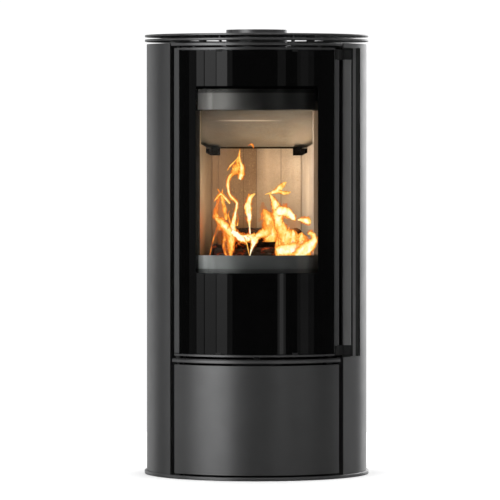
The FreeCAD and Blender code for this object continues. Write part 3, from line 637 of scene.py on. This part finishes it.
def log(name, centre, yaw, tilt, length, radius, seed, split=0.0, around=84, along=76):
    """A charred log: scaly bark cut by cracks, rough ends; split flattens one side."""
    turn = Matrix.Translation(centre) @ Matrix.Rotation(math.radians(yaw), 4, "Z") @ Matrix.Rotation(math.radians(tilt), 4, "Y")
    bm = bmesh.new()
    cracks, rings = [], []
    for i in range(along + 1):
        t = i / along
        x = (t - 0.5) * length
        ring = []
        for k in range(around):
            a = 2 * math.pi * k / around
            ca, sa = math.cos(a), math.sin(a)
            q = Vector((x * 9.0 + seed, ca * 0.9, sa * 0.9 + seed * 0.37))
            r = radius * (1.0 + 0.17 * noise.noise(q) + 0.05 * noise.noise(q * 3.1))
            if split:
                r = min(r, radius * (1.0 - split) / max(0.35, abs(math.cos(a - 2.2))) if math.cos(a - 2.2) > 0.2 else r)
            near = noise.voronoi(Vector((x / 0.019 + seed, ca * radius / 0.012, sa * radius / 0.012)))[0]
            gap = near[1] - near[0]
            crack = max(0.0, 1.0 - gap / 0.22)
            end = min(t, 1.0 - t) * length
            r -= 0.0026 * crack ** 1.5 + 0.0011 * noise.noise(Vector((x * 160, ca * 5, sa * 5 + seed)))
            if end < 0.012:
                r *= 1.0 - 0.10 * (1.0 - end / 0.012) ** 2
            dx = 0.006 * noise.noise(Vector((ca * 2.0, sa * 2.0, seed + (3.0 if t > 0.5 else 0.0)))) * (abs(2 * t - 1) ** 6)
            ring.append(bm.verts.new(turn @ Vector((x + dx, r * ca, r * sa))))
            cracks.append(min(1.0, crack))
        rings.append(ring)
    for a, b in zip(rings, rings[1:]):
        for k in range(around):
            bm.faces.new((a[k], a[(k + 1) % around], b[(k + 1) % around], b[k]))
    for ring, side in ((rings[0], -1), (rings[-1], 1)):
        mid = sum((v.co for v in ring), Vector()) / around
        last = ring
        for step in (0.82, 0.62, 0.42, 0.22):
            new = []
            for k, v in enumerate(ring):
                a = 2 * math.pi * k / around
                star = max(0.0, noise.noise(Vector((math.cos(a) * 3.0, math.sin(a) * 3.0, seed * 2.0 + side))))
                co = mid.lerp(v.co, step)
                co += (turn.to_3x3() @ Vector((-side, 0, 0))) * (0.006 * star * step + 0.0012 * noise.noise(Vector((a * 4, step * 9, seed))))
                new.append(bm.verts.new(co))
                cracks.append(min(1.0, 1.3 * star))
            for k in range(around):
                bm.faces.new((last[k], last[(k + 1) % around], new[(k + 1) % around], new[k]))
            last = new
        hub = bm.verts.new(mid)
        cracks.append(0.0)
        for k in range(around):
            bm.faces.new((last[k], last[(k + 1) % around], hub))
    return fuel(name, bm, CHAR, "crack", cracks)


log("fire_log_back", (-0.006, 0.024, 0.5195), 4.0, 0.0, 0.205, 0.042, 1.3)
log("fire_log_front", (0.004, -0.088, 0.5165), -5.0, 0.0, 0.215, 0.039, 4.7, 0.22)
log("fire_log_top", (-0.018, -0.034, 0.570), 17.0, 1.0, 0.150, 0.032, 8.1, 0.15)
log("fire_log_right", (0.088, -0.034, 0.5755), 84.0, -3.0, 0.150, 0.0205, 12.9)


def ember_bed():
    nx, ny = 92, 100
    bm = bmesh.new()
    top, low, lumps = [], [], []
    order = []
    for j in range(ny + 1):
        y = -0.190 + 0.262 * j / ny
        half = 0.1105 - 0.08657 * (y - 0.093) * 1.0 - 0.004
        half = min(half, math.sqrt(max(0.0, 0.222 ** 2 - y * y)))
        for i in range(nx + 1):
            s = 2.0 * i / nx - 1.0
            x = s * half
            edge = max(abs(s), abs((y + 0.059) / 0.131))
            swell = max(0.0, 1.0 - edge ** 3)
            near = noise.voronoi(Vector((x / 0.013, y / 0.013, 2.0)))[0]
            lump = max(0.0, 1.0 - near[0] / 0.62)
            h = 0.0012 + swell * (0.009 + 0.0065 * noise.noise(Vector((x * 22, y * 22, 5.0))) + 0.0075 * lump)
            grate = abs(x) < 0.077 and -0.117 < y < 0.027
            order.append((x, y, 0.4714 + max(0.0008, h), 0.4608 if grate else 0.4712, lump * swell))
    for x, y, zt, zb, lump in order:
        top.append(bm.verts.new((x, y, zt)))
        lumps.append(lump)
    for x, y, zt, zb, lump in order:
        low.append(bm.verts.new((x, y, zb)))
        lumps.append(0.0)
    w = nx + 1
    for j in range(ny):
        for i in range(nx):
            a, b, c, d = j * w + i, j * w + i + 1, (j + 1) * w + i + 1, (j + 1) * w + i
            bm.faces.new((top[a], top[b], top[c], top[d]))
            bm.faces.new((low[d], low[c], low[b], low[a]))
    rim = [i for i in range(w)] + [j * w + nx for j in range(1, ny + 1)] + [ny * w + i for i in range(nx - 1, -1, -1)] + [j * w for j in range(ny - 1, 0, -1)]
    for a, b in zip(rim, rim[1:] + rim[:1]):
        bm.faces.new((top[b], top[a], low[a], low[b]))
    return fuel("ember_bed", bm, EMBER, "lump", lumps)


ember_bed()


def coals():
    """Loose pieces of glowing charcoal lying on the bed between the logs and the guard."""
    rnd = random.Random(11)
    bm = bmesh.new()
    lumps = []
    spots = []
    while len(spots) < 34:
        x, y = rnd.uniform(-0.105, 0.105), rnd.uniform(-0.182, 0.062)
        r = rnd.uniform(0.007, 0.0135)
        if (-0.062 < y + 0.03 < 0.062 and abs(x) < 0.11) or x * x + y * y > 0.205 ** 2:
            continue
        if all((x - a) ** 2 + (y - b) ** 2 > (r + c) ** 2 * 0.8 for a, b, c in spots):
            spots.append((x, y, r))
    for x, y, r in spots:
        one = bmesh.ops.create_icosphere(bm, subdivisions=3, radius=1.0)["verts"]
        spin = Matrix.Rotation(rnd.uniform(0, 6.28), 3, "Z") @ Matrix.Rotation(rnd.uniform(-0.5, 0.5), 3, "X")
        sx, sz = rnd.uniform(0.8, 1.35), rnd.uniform(0.6, 0.9)
        for v in one:
            d = v.co.copy()
            near = noise.voronoi(d * 1.7 + Vector((x * 60, y * 60, 0)))[0]
            k = 0.78 + 0.34 * min(1.0, near[1] - near[0]) + 0.08 * noise.noise(d * 4.0 + Vector((x * 90, 0, y * 90)))
            v.co = spin @ Vector((d.x * k * r * sx, d.y * k * r, d.z * k * r * sz))
            v.co += Vector((x, y, 0.4785 + 0.55 * r))
    bm.verts.ensure_lookup_table()
    lumps = [0.75 + 0.25 * noise.noise(v.co * 60.0) for v in bm.verts]
    return fuel("ember_coals", bm, EMBER, "lump", lumps)


coals()

# ----------------------------------------------------------------- flames
# Each tongue: group, depth y, heat, then centre line points (x, z, half width), all in millimetres.
TONGUES = [
    ("left", -112, 1.05, [(-61.8, 568.0, 3.0), (-61.4, 584.5, 11.5), (-58.6, 607.0, 7.0), (-52.2, 637.0, 3.6), (-48.3, 658.2, 3.3), (-49.8, 667.3, 3.3), (-59.5, 676.4, 3.3), (-66.5, 687.0, 3.3), (-69.8, 702.2, 3.0), (-69.5, 716.7, 3.3), (-66.2, 727.9, 3.6), (-61.6, 734.0, 3.0), (-57.1, 738.6, 1.2)]),
    ("left", -104, 0.58, [(-65.6, 725.2, 3.0), (-58.3, 734.9, 7.9), (-52.2, 744.0, 12.7), (-48.6, 753.7, 12.1), (-45.6, 764.3, 6.7), (-43.1, 775.6, 3.3), (-41.6, 787.1, 2.1), (-40.4, 796.8, 0.6)]),
    ("left", -108, 1.00, [(-41.3, 721.6, 3.6), (-38.3, 729.5, 7.3), (-35.9, 739.2, 7.6), (-36.5, 750.1, 6.1), (-39.5, 762.2, 3.6), (-41.9, 774.9, 2.4), (-41.6, 787.1, 1.2)]),
    ("left", -104, 0.70, [(-71.6, 743.4, 1.2), (-64.4, 754.3, 2.4), (-55.3, 763.7, 2.1), (-47.1, 773.1, 1.5), (-43.1, 783.4, 0.9)]),
    ("left", -118, 0.34, [(-114.1, 534.8, 1.5), (-110.7, 553.6, 1.8), (-105.6, 574.8, 2.1), (-99.5, 593.0, 2.4), (-94.7, 609.7, 2.1), (-91.6, 621.8, 0.9)]),
    ("left", -120, 0.27, [(-71.6, 534.8, 3.6), (-78.3, 547.5, 3.6), (-80.7, 562.7, 3.6), (-78.3, 577.9, 4.2), (-73.5, 593.0, 3.9), (-69.2, 608.2, 1.8)]),
    ("left", -116, 0.84, [(-60.1, 576.3, 5.5), (-66.2, 593.0, 9.1), (-75.9, 606.7, 10.3), (-86.2, 617.3, 8.5), (-94.7, 624.0, 5.5), (-101.0, 630.6, 2.4), (-103.8, 635.5, 0.9)]),
    ("left", -104, 0.38, [(-92.9, 620.9, 5.5), (-98.3, 634.0, 6.7), (-98.3, 652.1, 5.8), (-95.3, 668.8, 4.5), (-91.6, 681.0, 3.6), (-90.4, 690.0, 2.7), (-95.3, 699.1, 0.9)]),
    ("left", -96, 0.26, [(-98.3, 623.3, 4.2), (-103.2, 632.4, 5.2), (-102.6, 644.6, 4.2), (-98.9, 656.7, 1.8)]),
    ("left", -100, 0.55, [(-73.5, 622.7, 4.5), (-77.7, 644.6, 5.8), (-81.3, 664.3, 5.5), (-84.7, 680.0, 3.9), (-83.8, 692.5, 2.1), (-82.2, 698.5, 0.6)]),
    ("left", -108, 0.85, [(-65.0, 662.8, 1.8), (-71.3, 670.3, 3.0), (-78.9, 678.8, 3.0), (-86.2, 686.1, 3.0), (-92.9, 681.0, 2.7), (-99.2, 673.7, 2.1), (-103.5, 668.2, 0.9)]),
    ("left", -98, 0.45, [(-63.1, 611.2, 2.1), (-66.8, 624.9, 2.7), (-68.6, 637.0, 2.1), (-65.6, 646.1, 0.6)]),
    ("left", -98, 0.42, [(-48.0, 608.2, 2.1), (-45.0, 621.8, 2.4), (-46.2, 634.0, 1.8), (-48.0, 643.1, 0.6)]),
    ("centre", -104, 1.18, [(-15.8, 585.4, 1.5), (-16.8, 602.1, 1.9), (-17.7, 612.5, 2.8), (-17.8, 622.0, 4.6), (-18.6, 632.0, 6.8), (-20.6, 643.0, 8.8), (-22.0, 654.0, 9.4), (-19.2, 666.0, 7.2), (-15.2, 677.0, 5.9), (-9.2, 683.4, 3.9), (-3.7, 687.0, 1.2)]),
    ("centre", -126, 1.22, [(-16.5, 535.4, 0.6), (-14.4, 546.0, 1.7), (-11.0, 556.6, 3.3), (-7.4, 567.3, 6.8), (-5.4, 576.7, 12.4), (-4.6, 583.3, 17.4)]),
    ("centre", -124, 0.72, [(-17.1, 534.8, 0.9), (-20.7, 550.6, 1.5), (-23.4, 564.2, 1.8), (-27.1, 574.2, 2.1), (-31.0, 582.4, 1.2)]),
    ("centre", -118, 1.28, [(-60.7, 595.4, 6.5), (-49.2, 587.6, 7.3), (-37.1, 579.1, 9.1), (-24.9, 578.5, 8.5), (-12.8, 583.5, 7.0), (-3.0, 588.0, 2.5)]),
    ("right", -122, 0.80, [(79.4, 534.2, 37.0), (79.4, 549.1, 36.4), (80.0, 564.2, 31.5), (72.7, 579.4, 26.7), (63.6, 595.4, 19.4), (55.7, 611.2, 13.9), (51.5, 628.8, 13.9), (49.6, 644.6, 13.3), (46.0, 659.1, 10.3), (39.6, 673.1, 6.7), (34.2, 682.2, 3.3), (30.8, 687.0, 0.9)]),
    ("right", -133, 1.08, [(46.0, 640.9, 8.0), (58.7, 644.6, 13.3), (72.1, 642.1, 12.7), (81.8, 636.1, 10.3), (88.5, 628.2, 6.4), (93.9, 621.5, 1.5)]),
    ("right", -108, 0.86, [(33.9, 570.0, 13.3), (33.3, 590.0, 17.6), (32.1, 608.2, 17.6), (29.0, 623.3, 13.9), (24.2, 634.9, 10.3), (19.3, 644.0, 6.1), (16.3, 649.4, 1.8)]),
    ("right", -98, 0.78, [(20.5, 685.2, 1.2), (35.7, 689.1, 3.9), (49.0, 693.7, 7.3), (58.1, 702.2, 7.6), (65.7, 709.8, 5.5), (72.1, 714.9, 1.2)]),
    ("right", -98, 0.70, [(50.9, 694.3, 3.0), (64.2, 688.8, 5.5), (74.8, 688.8, 3.9), (83.0, 691.3, 1.2)]),
    ("right", -128, 1.06, [(99.4, 623.3, 1.8), (108.5, 624.0, 5.5), (117.6, 621.5, 7.9), (126.1, 619.1, 7.3), (133.3, 618.5, 2.4)]),
    ("right", -199, 1.06, [(103.6, 534.2, 20.0), (111.5, 548.2, 20.0), (123.0, 557.9, 17.0), (132.7, 568.2, 11.5), (137.6, 579.1, 7.9), (135.1, 588.8, 7.3), (128.5, 593.0, 5.2), (123.0, 590.0, 1.5)]),
    ("right", -130, 1.00, [(87.2, 556.6, 9.1), (89.1, 576.3, 8.8), (88.5, 590.0, 6.7), (87.2, 599.7, 1.5)]),
    ("right", -136, 1.02, [(105.4, 556.6, 9.1), (107.6, 574.8, 8.2), (108.8, 585.7, 5.5), (109.7, 593.6, 1.2)]),
    ("right", -132, 0.50, [(49.0, 534.2, 3.6), (47.8, 547.5, 4.5), (48.4, 561.2, 4.5), (50.3, 576.3, 3.9), (50.9, 590.0, 1.5)]),
    ("right", -84, 0.66, [(67.8, 534.8, 18.8), (69.1, 550.6, 21.8), (67.2, 568.2, 20.6), (59.3, 585.4, 15.2), (49.0, 602.1, 9.1), (46.0, 614.2, 2.4)]),
    ("right", -84, 0.72, [(109.7, 534.8, 31.5), (111.5, 550.6, 32.1), (112.1, 565.7, 25.5), (108.5, 580.3, 13.3), (104.8, 590.6, 3.6)]),
    ("right", -126, 0.66, [(63.6, 574.8, 7.9), (68.4, 588.5, 6.1), (76.3, 599.1, 3.6), (79.4, 607.6, 0.9)]),
    ("centre", -100, 0.90, [(-21.9, 659.7, 3.6), (-20.7, 668.8, 3.9), (-19.5, 677.3, 3.3), (-18.6, 684.0, 1.5), (-18.3, 688.2, 0.6)]),
    ("right", -146, 1.08, [(49.0, 546.9, 10.3), (64.8, 550.0, 13.9), (83.0, 553.0, 15.8), (101.2, 554.8, 15.8), (116.4, 556.6, 13.3), (125.4, 559.7, 7.9), (129.7, 562.7, 1.8)]),
    ("centre", -92, 0.30, [(-21.3, 802.8, 0.9), (-15.8, 806.5, 2.7), (-10.4, 805.0, 3.0), (-7.1, 797.1, 0.9)]),
    ("centre", -118, 0.72, [(-9.0, 578.0, 4.0), (2.5, 585.5, 9.0), (14.2, 590.4, 13.0), (26.0, 597.3, 13.3), (34.5, 609.2, 8.5), (39.3, 621.8, 2.1)]),
    ("right", -127, 1.06, [(57.5, 607.0, 6.0), (53.5, 619.0, 11.0), (51.5, 630.8, 12.5), (49.6, 644.6, 12.5), (46.0, 659.1, 9.8), (39.6, 673.1, 6.5), (34.2, 682.2, 3.2), (30.8, 687.0, 0.9)]),
    ("left", -104, 0.80, [(-63.5, 534.8, 5.2), (-62.0, 556.0, 7.6), (-61.5, 576.0, 9.6), (-61.0, 594.0, 10.0), (-59.5, 610.0, 3.5)]),
    ("left", -114, 0.92, [(-104.0, 634.0, 1.5), (-97.0, 625.5, 4.5), (-86.0, 615.5, 8.5), (-74.5, 604.0, 11.0), (-66.5, 590.0, 11.5), (-62.0, 575.0, 9.6), (-62.0, 552.0, 7.0), (-63.5, 535.0, 5.0)]),
]

# Thin burning haze between and beside the tongues, in the same form.
HAZE = [
    (-90, 0.26, [(-83.0, 612.0, 8.0), (-86.0, 630.0, 15.0), (-88.0, 650.0, 15.0), (-88.0, 670.0, 10.0), (-87.0, 690.0, 4.0)]),
    (-124, 0.13, [(-86.0, 564.0, 8.0), (-88.0, 580.0, 15.0), (-92.0, 604.0, 12.0), (-97.0, 628.0, 5.0)]),
    (-94, 0.30, [(30.0, 596.0, 8.0), (24.0, 612.0, 14.0), (19.0, 630.0, 14.0), (16.0, 648.0, 10.0), (14.0, 666.0, 4.0)]),
    (-96, 0.12, [(88.0, 590.0, 10.0), (90.0, 602.0, 20.0), (86.0, 618.0, 16.0), (80.0, 634.0, 8.0)]),
    (-106, 0.24, [(-74.0, 536.0, 5.0), (-75.0, 554.0, 9.0), (-74.0, 574.0, 9.0), (-72.0, 594.0, 4.0)]),
]


def flame_material():
    """Burning gas: pale yellow where it is thick, orange and thin at its edges."""
    m = Mat("flame").set(Base_Color=(0.0, 0.0, 0.0, 1.0), Roughness=1.0, Specular_IOR_Level=0.0)
    lick = m.noise(38.0, 3.0, 0.6, m.scaled(1.0, 1.0, 0.42), 1.6)
    vein = m.noise(120.0, 3.0, 0.6, m.scaled(1.0, 1.0, 0.5), 0.8)
    flicker = m.math("ADD", m.range(lick, 0.25, 0.75, -0.40, 0.36), m.range(vein, 0.25, 0.75, -0.28, 0.26))
    heat = m.math("ADD", m.attr("burn"), flicker)
    m.to("Emission Color", m.ramp(m.range(heat, 0.0, 1.3, 0.0, 1.0), [(0.0, (0.60, 0.05, 0.004)), (0.14, (0.95, 0.17, 0.015)), (0.31, (1.0, 0.34, 0.04)),
                                                                      (0.46, (1.0, 0.55, 0.09)), (0.62, (1.0, 0.76, 0.20)), (0.80, (1.0, 0.92, 0.42)),
                                                                      (1.0, (1.0, 1.0, 0.82))]))
    m.set(Emission_Strength=1.08)
    m.to("Alpha", m.range(heat, 0.0, 0.52, 0.0, 1.0))
    m.m.cycles.emission_sampling = "NONE"
    return m.m


def spline(pts, per=6):
    """Points along a smooth curve through pts (Catmull-Rom)."""
    pts = [Vector(p) for p in pts]
    pts = [pts[0] * 2 - pts[1]] + pts + [pts[-1] * 2 - pts[-2]]
    out = []
    for a, b, c, d in zip(pts, pts[1:], pts[2:], pts[3:]):
        for k in range(per):
            t = k / per
            out.append(0.5 * ((2 * b) + (c - a) * t + (2 * a - 5 * b + 4 * c - d) * t * t + (3 * b - a - 3 * c + d) * t ** 3))
    out.append(pts[-2])
    return out


def tongue(bm, heats, depth, hot, pts, seed, around=16):
    line = spline(pts)
    rings = []
    n = len(line)
    edge = 2.2 + 2.8 * min(1.0, max(0.0, (hot - 0.98) / 0.22))
    for i, p in enumerate(line):
        t = i / (n - 1)
        d = line[min(n - 1, i + 1)] - line[max(0, i - 1)]
        d = Vector((d.x, d.y)).normalized()
        side = Vector((-d.y, d.x))
        sway = noise.noise(Vector((t * 5.0, seed, 0.0)))
        w = max(0.35, p.z * (1.0 + 0.16 * noise.noise(Vector((t * 9.0, seed, 4.0)))))
        thick = min(0.6 * w, 9.0) + 0.15
        ring = []
        for k in range(around):
            a = 2 * math.pi * k / around
            c = math.cos(a)
            ruffle = 1.0 + 0.34 * noise.noise(Vector((p.x * 0.13, p.y * 0.13, seed + 2.0 * c))) + 0.22 * noise.noise(Vector((p.x * 0.34, p.y * 0.34, seed - c)))
            x = p.x + side.x * w * c * ruffle
            z = p.y + side.y * w * c * ruffle
            y = depth + thick * math.sin(a) * abs(math.sin(a)) ** 0.3 + 7.0 * sway
            ring.append(bm.verts.new((x / 1000, y / 1000, z / 1000)))
            fade = 1.0 - 0.35 * max(0.0, (t - 0.6) / 0.4)
            heats.append(hot * fade * (1.0 - abs(c) ** edge) * 1.12)
        rings.append(ring)
    for a, b in zip(rings, rings[1:]):
        for k in range(around):
            bm.faces.new((a[k], a[(k + 1) % around], b[(k + 1) % around], b[k]))
    for ring in (rings[0], rings[-1]):
        tip = bm.verts.new(sum((v.co for v in ring), Vector()) / around)
        heats.append(0.3 * hot)
        for k in range(around):
            bm.faces.new((ring[k], ring[(k + 1) % around], tip))


def haze_material():
    """Soft orange glow of thin burning gas."""
    m = Mat("flame_haze").set(Base_Color=(0.0, 0.0, 0.0, 1.0), Roughness=1.0, Specular_IOR_Level=0.0)
    m.to("Emission Color", m.ramp(m.noise(22.0, 3.0, 0.6, m.scaled(1.0, 1.0, 0.4), 0.8), [(0.3, (0.80, 0.15, 0.02)), (0.7, (1.0, 0.33, 0.06))]))
    m.set(Emission_Strength=0.85)
    m.to("Alpha", m.math("MULTIPLY", m.attr("burn"), m.range(m.noise(30.0, 3.0, 0.6, m.scaled(1.0, 1.0, 0.4)), 0.3, 0.7, 0.55, 1.25)))
    m.m.cycles.emission_sampling = "NONE"
    return m.m


FLAME = flame_material()
for group in ("left", "centre", "right"):
    bm, heats = bmesh.new(), []
    for k, (g, depth, hot, pts) in enumerate(TONGUES):
        if g == group:
            tongue(bm, heats, depth, hot, pts, 1.7 * k)
            if hot > 0.8:
                tongue(bm, heats, depth + 14.0, 0.36 if hot < 1.1 else 0.26, [(x, z, 1.3 * w + 1.2) for x, z, w in pts], 1.7 * k + 0.9)
    me = mesh_of("flames_" + group, bm, True)
    attribute(me, "burn", heats)
    o = link("flames_" + group, me)
    dress(o, FLAME)
    o.visible_shadow = False
    o.visible_diffuse = False
    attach(o, BODY)


bm, heats = bmesh.new(), []
for k, (depth, hot, pts) in enumerate(HAZE):
    tongue(bm, heats, depth, hot, pts, 40.0 + 1.7 * k)
me = mesh_of("flame_haze", bm, True)
attribute(me, "burn", heats)
o = link("flame_haze", me)
dress(o, haze_material())
o.visible_shadow = False
o.visible_diffuse = False
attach(o, BODY)


def glow(name, place, watts, tint, radius):
    """A warm light in the fire."""
    d = bpy.data.lights.new(name, "POINT")
    d.energy, d.color, d.shadow_soft_size = watts, tint, radius
    o = bpy.data.objects.new(name, d)
    o.location = place
    o.visible_camera = o.visible_glossy = o.visible_transmission = False
    scene.collection.objects.link(o)


glow("fire_glow_right", (0.022, -0.070, 0.690), 0.58, (1.0, 0.68, 0.40), 0.03)
glow("fire_glow_left", (-0.040, -0.110, 0.620), 0.10, (1.0, 0.60, 0.30), 0.03)
glow("fire_glow_low", (-0.090, -0.170, 0.605), 0.18, (1.0, 0.22, 0.045), 0.02)
glow("fire_glow_corner", (-0.118, -0.208, 0.815), 0.008, (1.0, 0.78, 0.52), 0.010)
glow("fire_glow_corner_r", (0.118, -0.208, 0.815), 0.010, (1.0, 0.78, 0.52), 0.012)
glow("fire_glow_pale", (-0.050, -0.150, 0.715), 0.34, (1.0, 0.86, 0.68), 0.03)


def glow_strip(name, place, aim, length, watts, tint):
    """A narrow upright light in the fire, shining along aim."""
    d = bpy.data.lights.new(name, "AREA")
    d.shape = "RECTANGLE"
    d.size, d.size_y = 0.012, length
    d.energy, d.color = watts, tint
    o = bpy.data.objects.new(name, d)
    o.location = place
    o.rotation_euler = Vector(aim).to_track_quat("-Z", "Y").to_euler()
    o.visible_camera = o.visible_glossy = o.visible_transmission = False
    scene.collection.objects.link(o)


glow_strip("fire_glow_edge", (0.112, -0.236, 0.690), (0.546, 0.838, 0.0), 0.40, 0.10, (1.0, 0.74, 0.50))
glow_strip("fire_glow_back_r", (0.066, 0.045, 0.700), (1.0, 0.0, 0.0), 0.18, 0.030, (1.0, 0.80, 0.60))
glow_strip("fire_glow_back_l", (-0.066, 0.050, 0.665), (-1.0, 0.0, 0.0), 0.24, 0.030, (1.0, 0.74, 0.50))

# -------------------------------------------------------------------- stage
bm = bmesh.new()
bmesh.ops.create_circle(bm, cap_ends=True, cap_tris=False, segments=96, radius=1.5)
floor = link("floor", mesh_of("floor", bm, False))
floor.location = (0, 0, -0.0005)
fm = Mat("studio_floor")
fm.to("Base Color", fm.ramp(fm.noise(2.0), [(0.3, (0.93, 0.93, 0.93)), (0.7, (0.95, 0.95, 0.95))]))
fm.set(Roughness=0.9, Specular_IOR_Level=0.1)
dress(floor, fm.m)
floor.visible_glossy = False

world = bpy.data.worlds.new("studio")
scene.world = world
world.use_nodes = True
wt = world.node_tree
wt.nodes.clear()
w_out = wt.nodes.new("ShaderNodeOutputWorld")
w_mix = wt.nodes.new("ShaderNodeMixShader")
w_path = wt.nodes.new("ShaderNodeLightPath")
w_dim = wt.nodes.new("ShaderNodeBackground")
w_white = wt.nodes.new("ShaderNodeBackground")
w_dim.inputs["Color"].default_value = (1, 1, 1, 1)
w_dim.inputs["Strength"].default_value = 0.05
w_white.inputs["Color"].default_value = (1, 1, 1, 1)
w_white.inputs["Strength"].default_value = 1.05


def w_math(op, a, b):
    n = wt.nodes.new("ShaderNodeMath")
    n.operation = op
    for k, v in enumerate((a, b)):
        if isinstance(v, float):
            n.inputs[k].default_value = v
        else:
            wt.links.new(v, n.inputs[k])
    return n.outputs[0]


# The backdrop is white to the eye, straight on or through the glass, and dim to everything it lights.
plain = w_math("MULTIPLY", w_math("LESS_THAN", w_path.outputs["Diffuse Depth"], 0.5), w_math("LESS_THAN", w_path.outputs["Glossy Depth"], 0.5))
through = w_math("MULTIPLY", w_path.outputs["Is Transmission Ray"], plain)
wt.links.new(w_math("MAXIMUM", w_path.outputs["Is Camera Ray"], through), w_mix.inputs["Fac"])
wt.links.new(w_dim.outputs[0], w_mix.inputs[1])
wt.links.new(w_white.outputs[0], w_mix.inputs[2])
wt.links.new(w_mix.outputs[0], w_out.inputs["Surface"])


def card(name, ang0, ang1, dist, z0, z1, radiance, low=1.0, tint=(1, 1, 1)):
    """An upright soft light seen from the stove between two angles (0 = front, + = right).

    low is the brightness at its foot, as a share of the brightness at its head.
    """
    mid = math.radians(0.5 * (ang0 + ang1))
    w = 2 * dist * math.tan(math.radians(0.5 * (ang1 - ang0)))
    d = bpy.data.lights.new(name, "AREA")
    d.shape = "RECTANGLE"
    d.size, d.size_y = w, z1 - z0
    d.energy = radiance * math.pi * w * (z1 - z0)
    d.color = tint
    if low != 1.0:
        d.use_nodes = True
        t = d.node_tree
        em = next(n for n in t.nodes if n.type == "EMISSION")
        geo = t.nodes.new("ShaderNodeNewGeometry")
        sep = t.nodes.new("ShaderNodeSeparateXYZ")
        rng = t.nodes.new("ShaderNodeMapRange")
        rng.inputs["To Min"].default_value = low
        rng.inputs["To Max"].default_value = 1.0
        t.links.new(geo.outputs["Position"], sep.inputs[0])
        rng.inputs["From Min"].default_value = z0 + 0.1 * (z1 - z0)
        rng.inputs["From Max"].default_value = z0 + 0.6 * (z1 - z0)
        t.links.new(sep.outputs["Z"], rng.inputs["Value"])
        t.links.new(rng.outputs["Result"], em.inputs["Strength"])
    o = bpy.data.objects.new(name, d)
    c = Vector((dist * math.sin(mid), -dist * math.cos(mid), 0.5 * (z0 + z1)))
    o.location = c
    aim = Vector((-c.x, -c.y, 0))
    o.rotation_euler = aim.to_track_quat("-Z", "Y").to_euler()
    o.visible_camera = False
    scene.collection.objects.link(o)
    return o


card("soft_left_a", -63.8, -55.3, 4.0, -0.6, 2.2, 1.19, 0.38)
card("soft_left_b", -54.4, -42.0, 4.0, -0.6, 2.2, 1.43, 0.38)
card("soft_left_c", -41.3, -30.0, 4.0, -0.6, 2.2, 1.80, 0.38)
card("soft_left_edge", -73.0, -64.2, 4.0, -0.6, 2.2, 0.14)
card("soft_left_fade", -29.8, -24.6, 4.0, -0.6, 2.2, 0.20)
card("side_left", -106.0, -87.5, 4.0, -0.6, 2.2, 0.31)
card("strip_right", 21.0, 29.4, 4.0, 0.10, 1.20, 0.165, 3.3)
card("strip_right_core", 23.2, 27.0, 4.0, 0.08, 0.42, 0.84)
card("fill_right_a", 41.6, 45.0, 4.0, 0.10, 1.25, 0.12, 1.7)
card("fill_right_b", 45.1, 54.0, 4.0, 0.10, 1.25, 0.19, 1.9)
card("fill_right_c", 54.1, 60.5, 4.0, 0.10, 1.25, 0.10, 1.7)
card("side_right", 92.0, 122.0, 4.0, -0.6, 2.2, 0.22)
card("rim_left", -178.0, -128.0, 4.0, -0.6, 3.0, 0.36, 1.5)
card("rim_right", 138.0, 178.0, 4.0, -0.6, 3.0, 2.3, 0.42)

top_d = bpy.data.lights.new("overhead", "AREA")
top_d.shape = "RECTANGLE"
top_d.size, top_d.size_y = 5.0, 5.0
top_d.energy = 5.0 * math.pi * 25.0
top = bpy.data.objects.new("overhead", top_d)
top.location = (0, 0, 4.5)
top.visible_camera = top.visible_glossy = False
scene.collection.objects.link(top)

sky_d = bpy.data.lights.new("overhead_soft", "AREA")
sky_d.shape = "RECTANGLE"
sky_d.size, sky_d.size_y = 5.0, 5.0
sky_d.energy = 0.30 * math.pi * 25.0
sky = bpy.data.objects.new("overhead_soft", sky_d)
sky.location = (0, 0, 4.4)
sky.visible_camera = False
scene.collection.objects.link(sky)
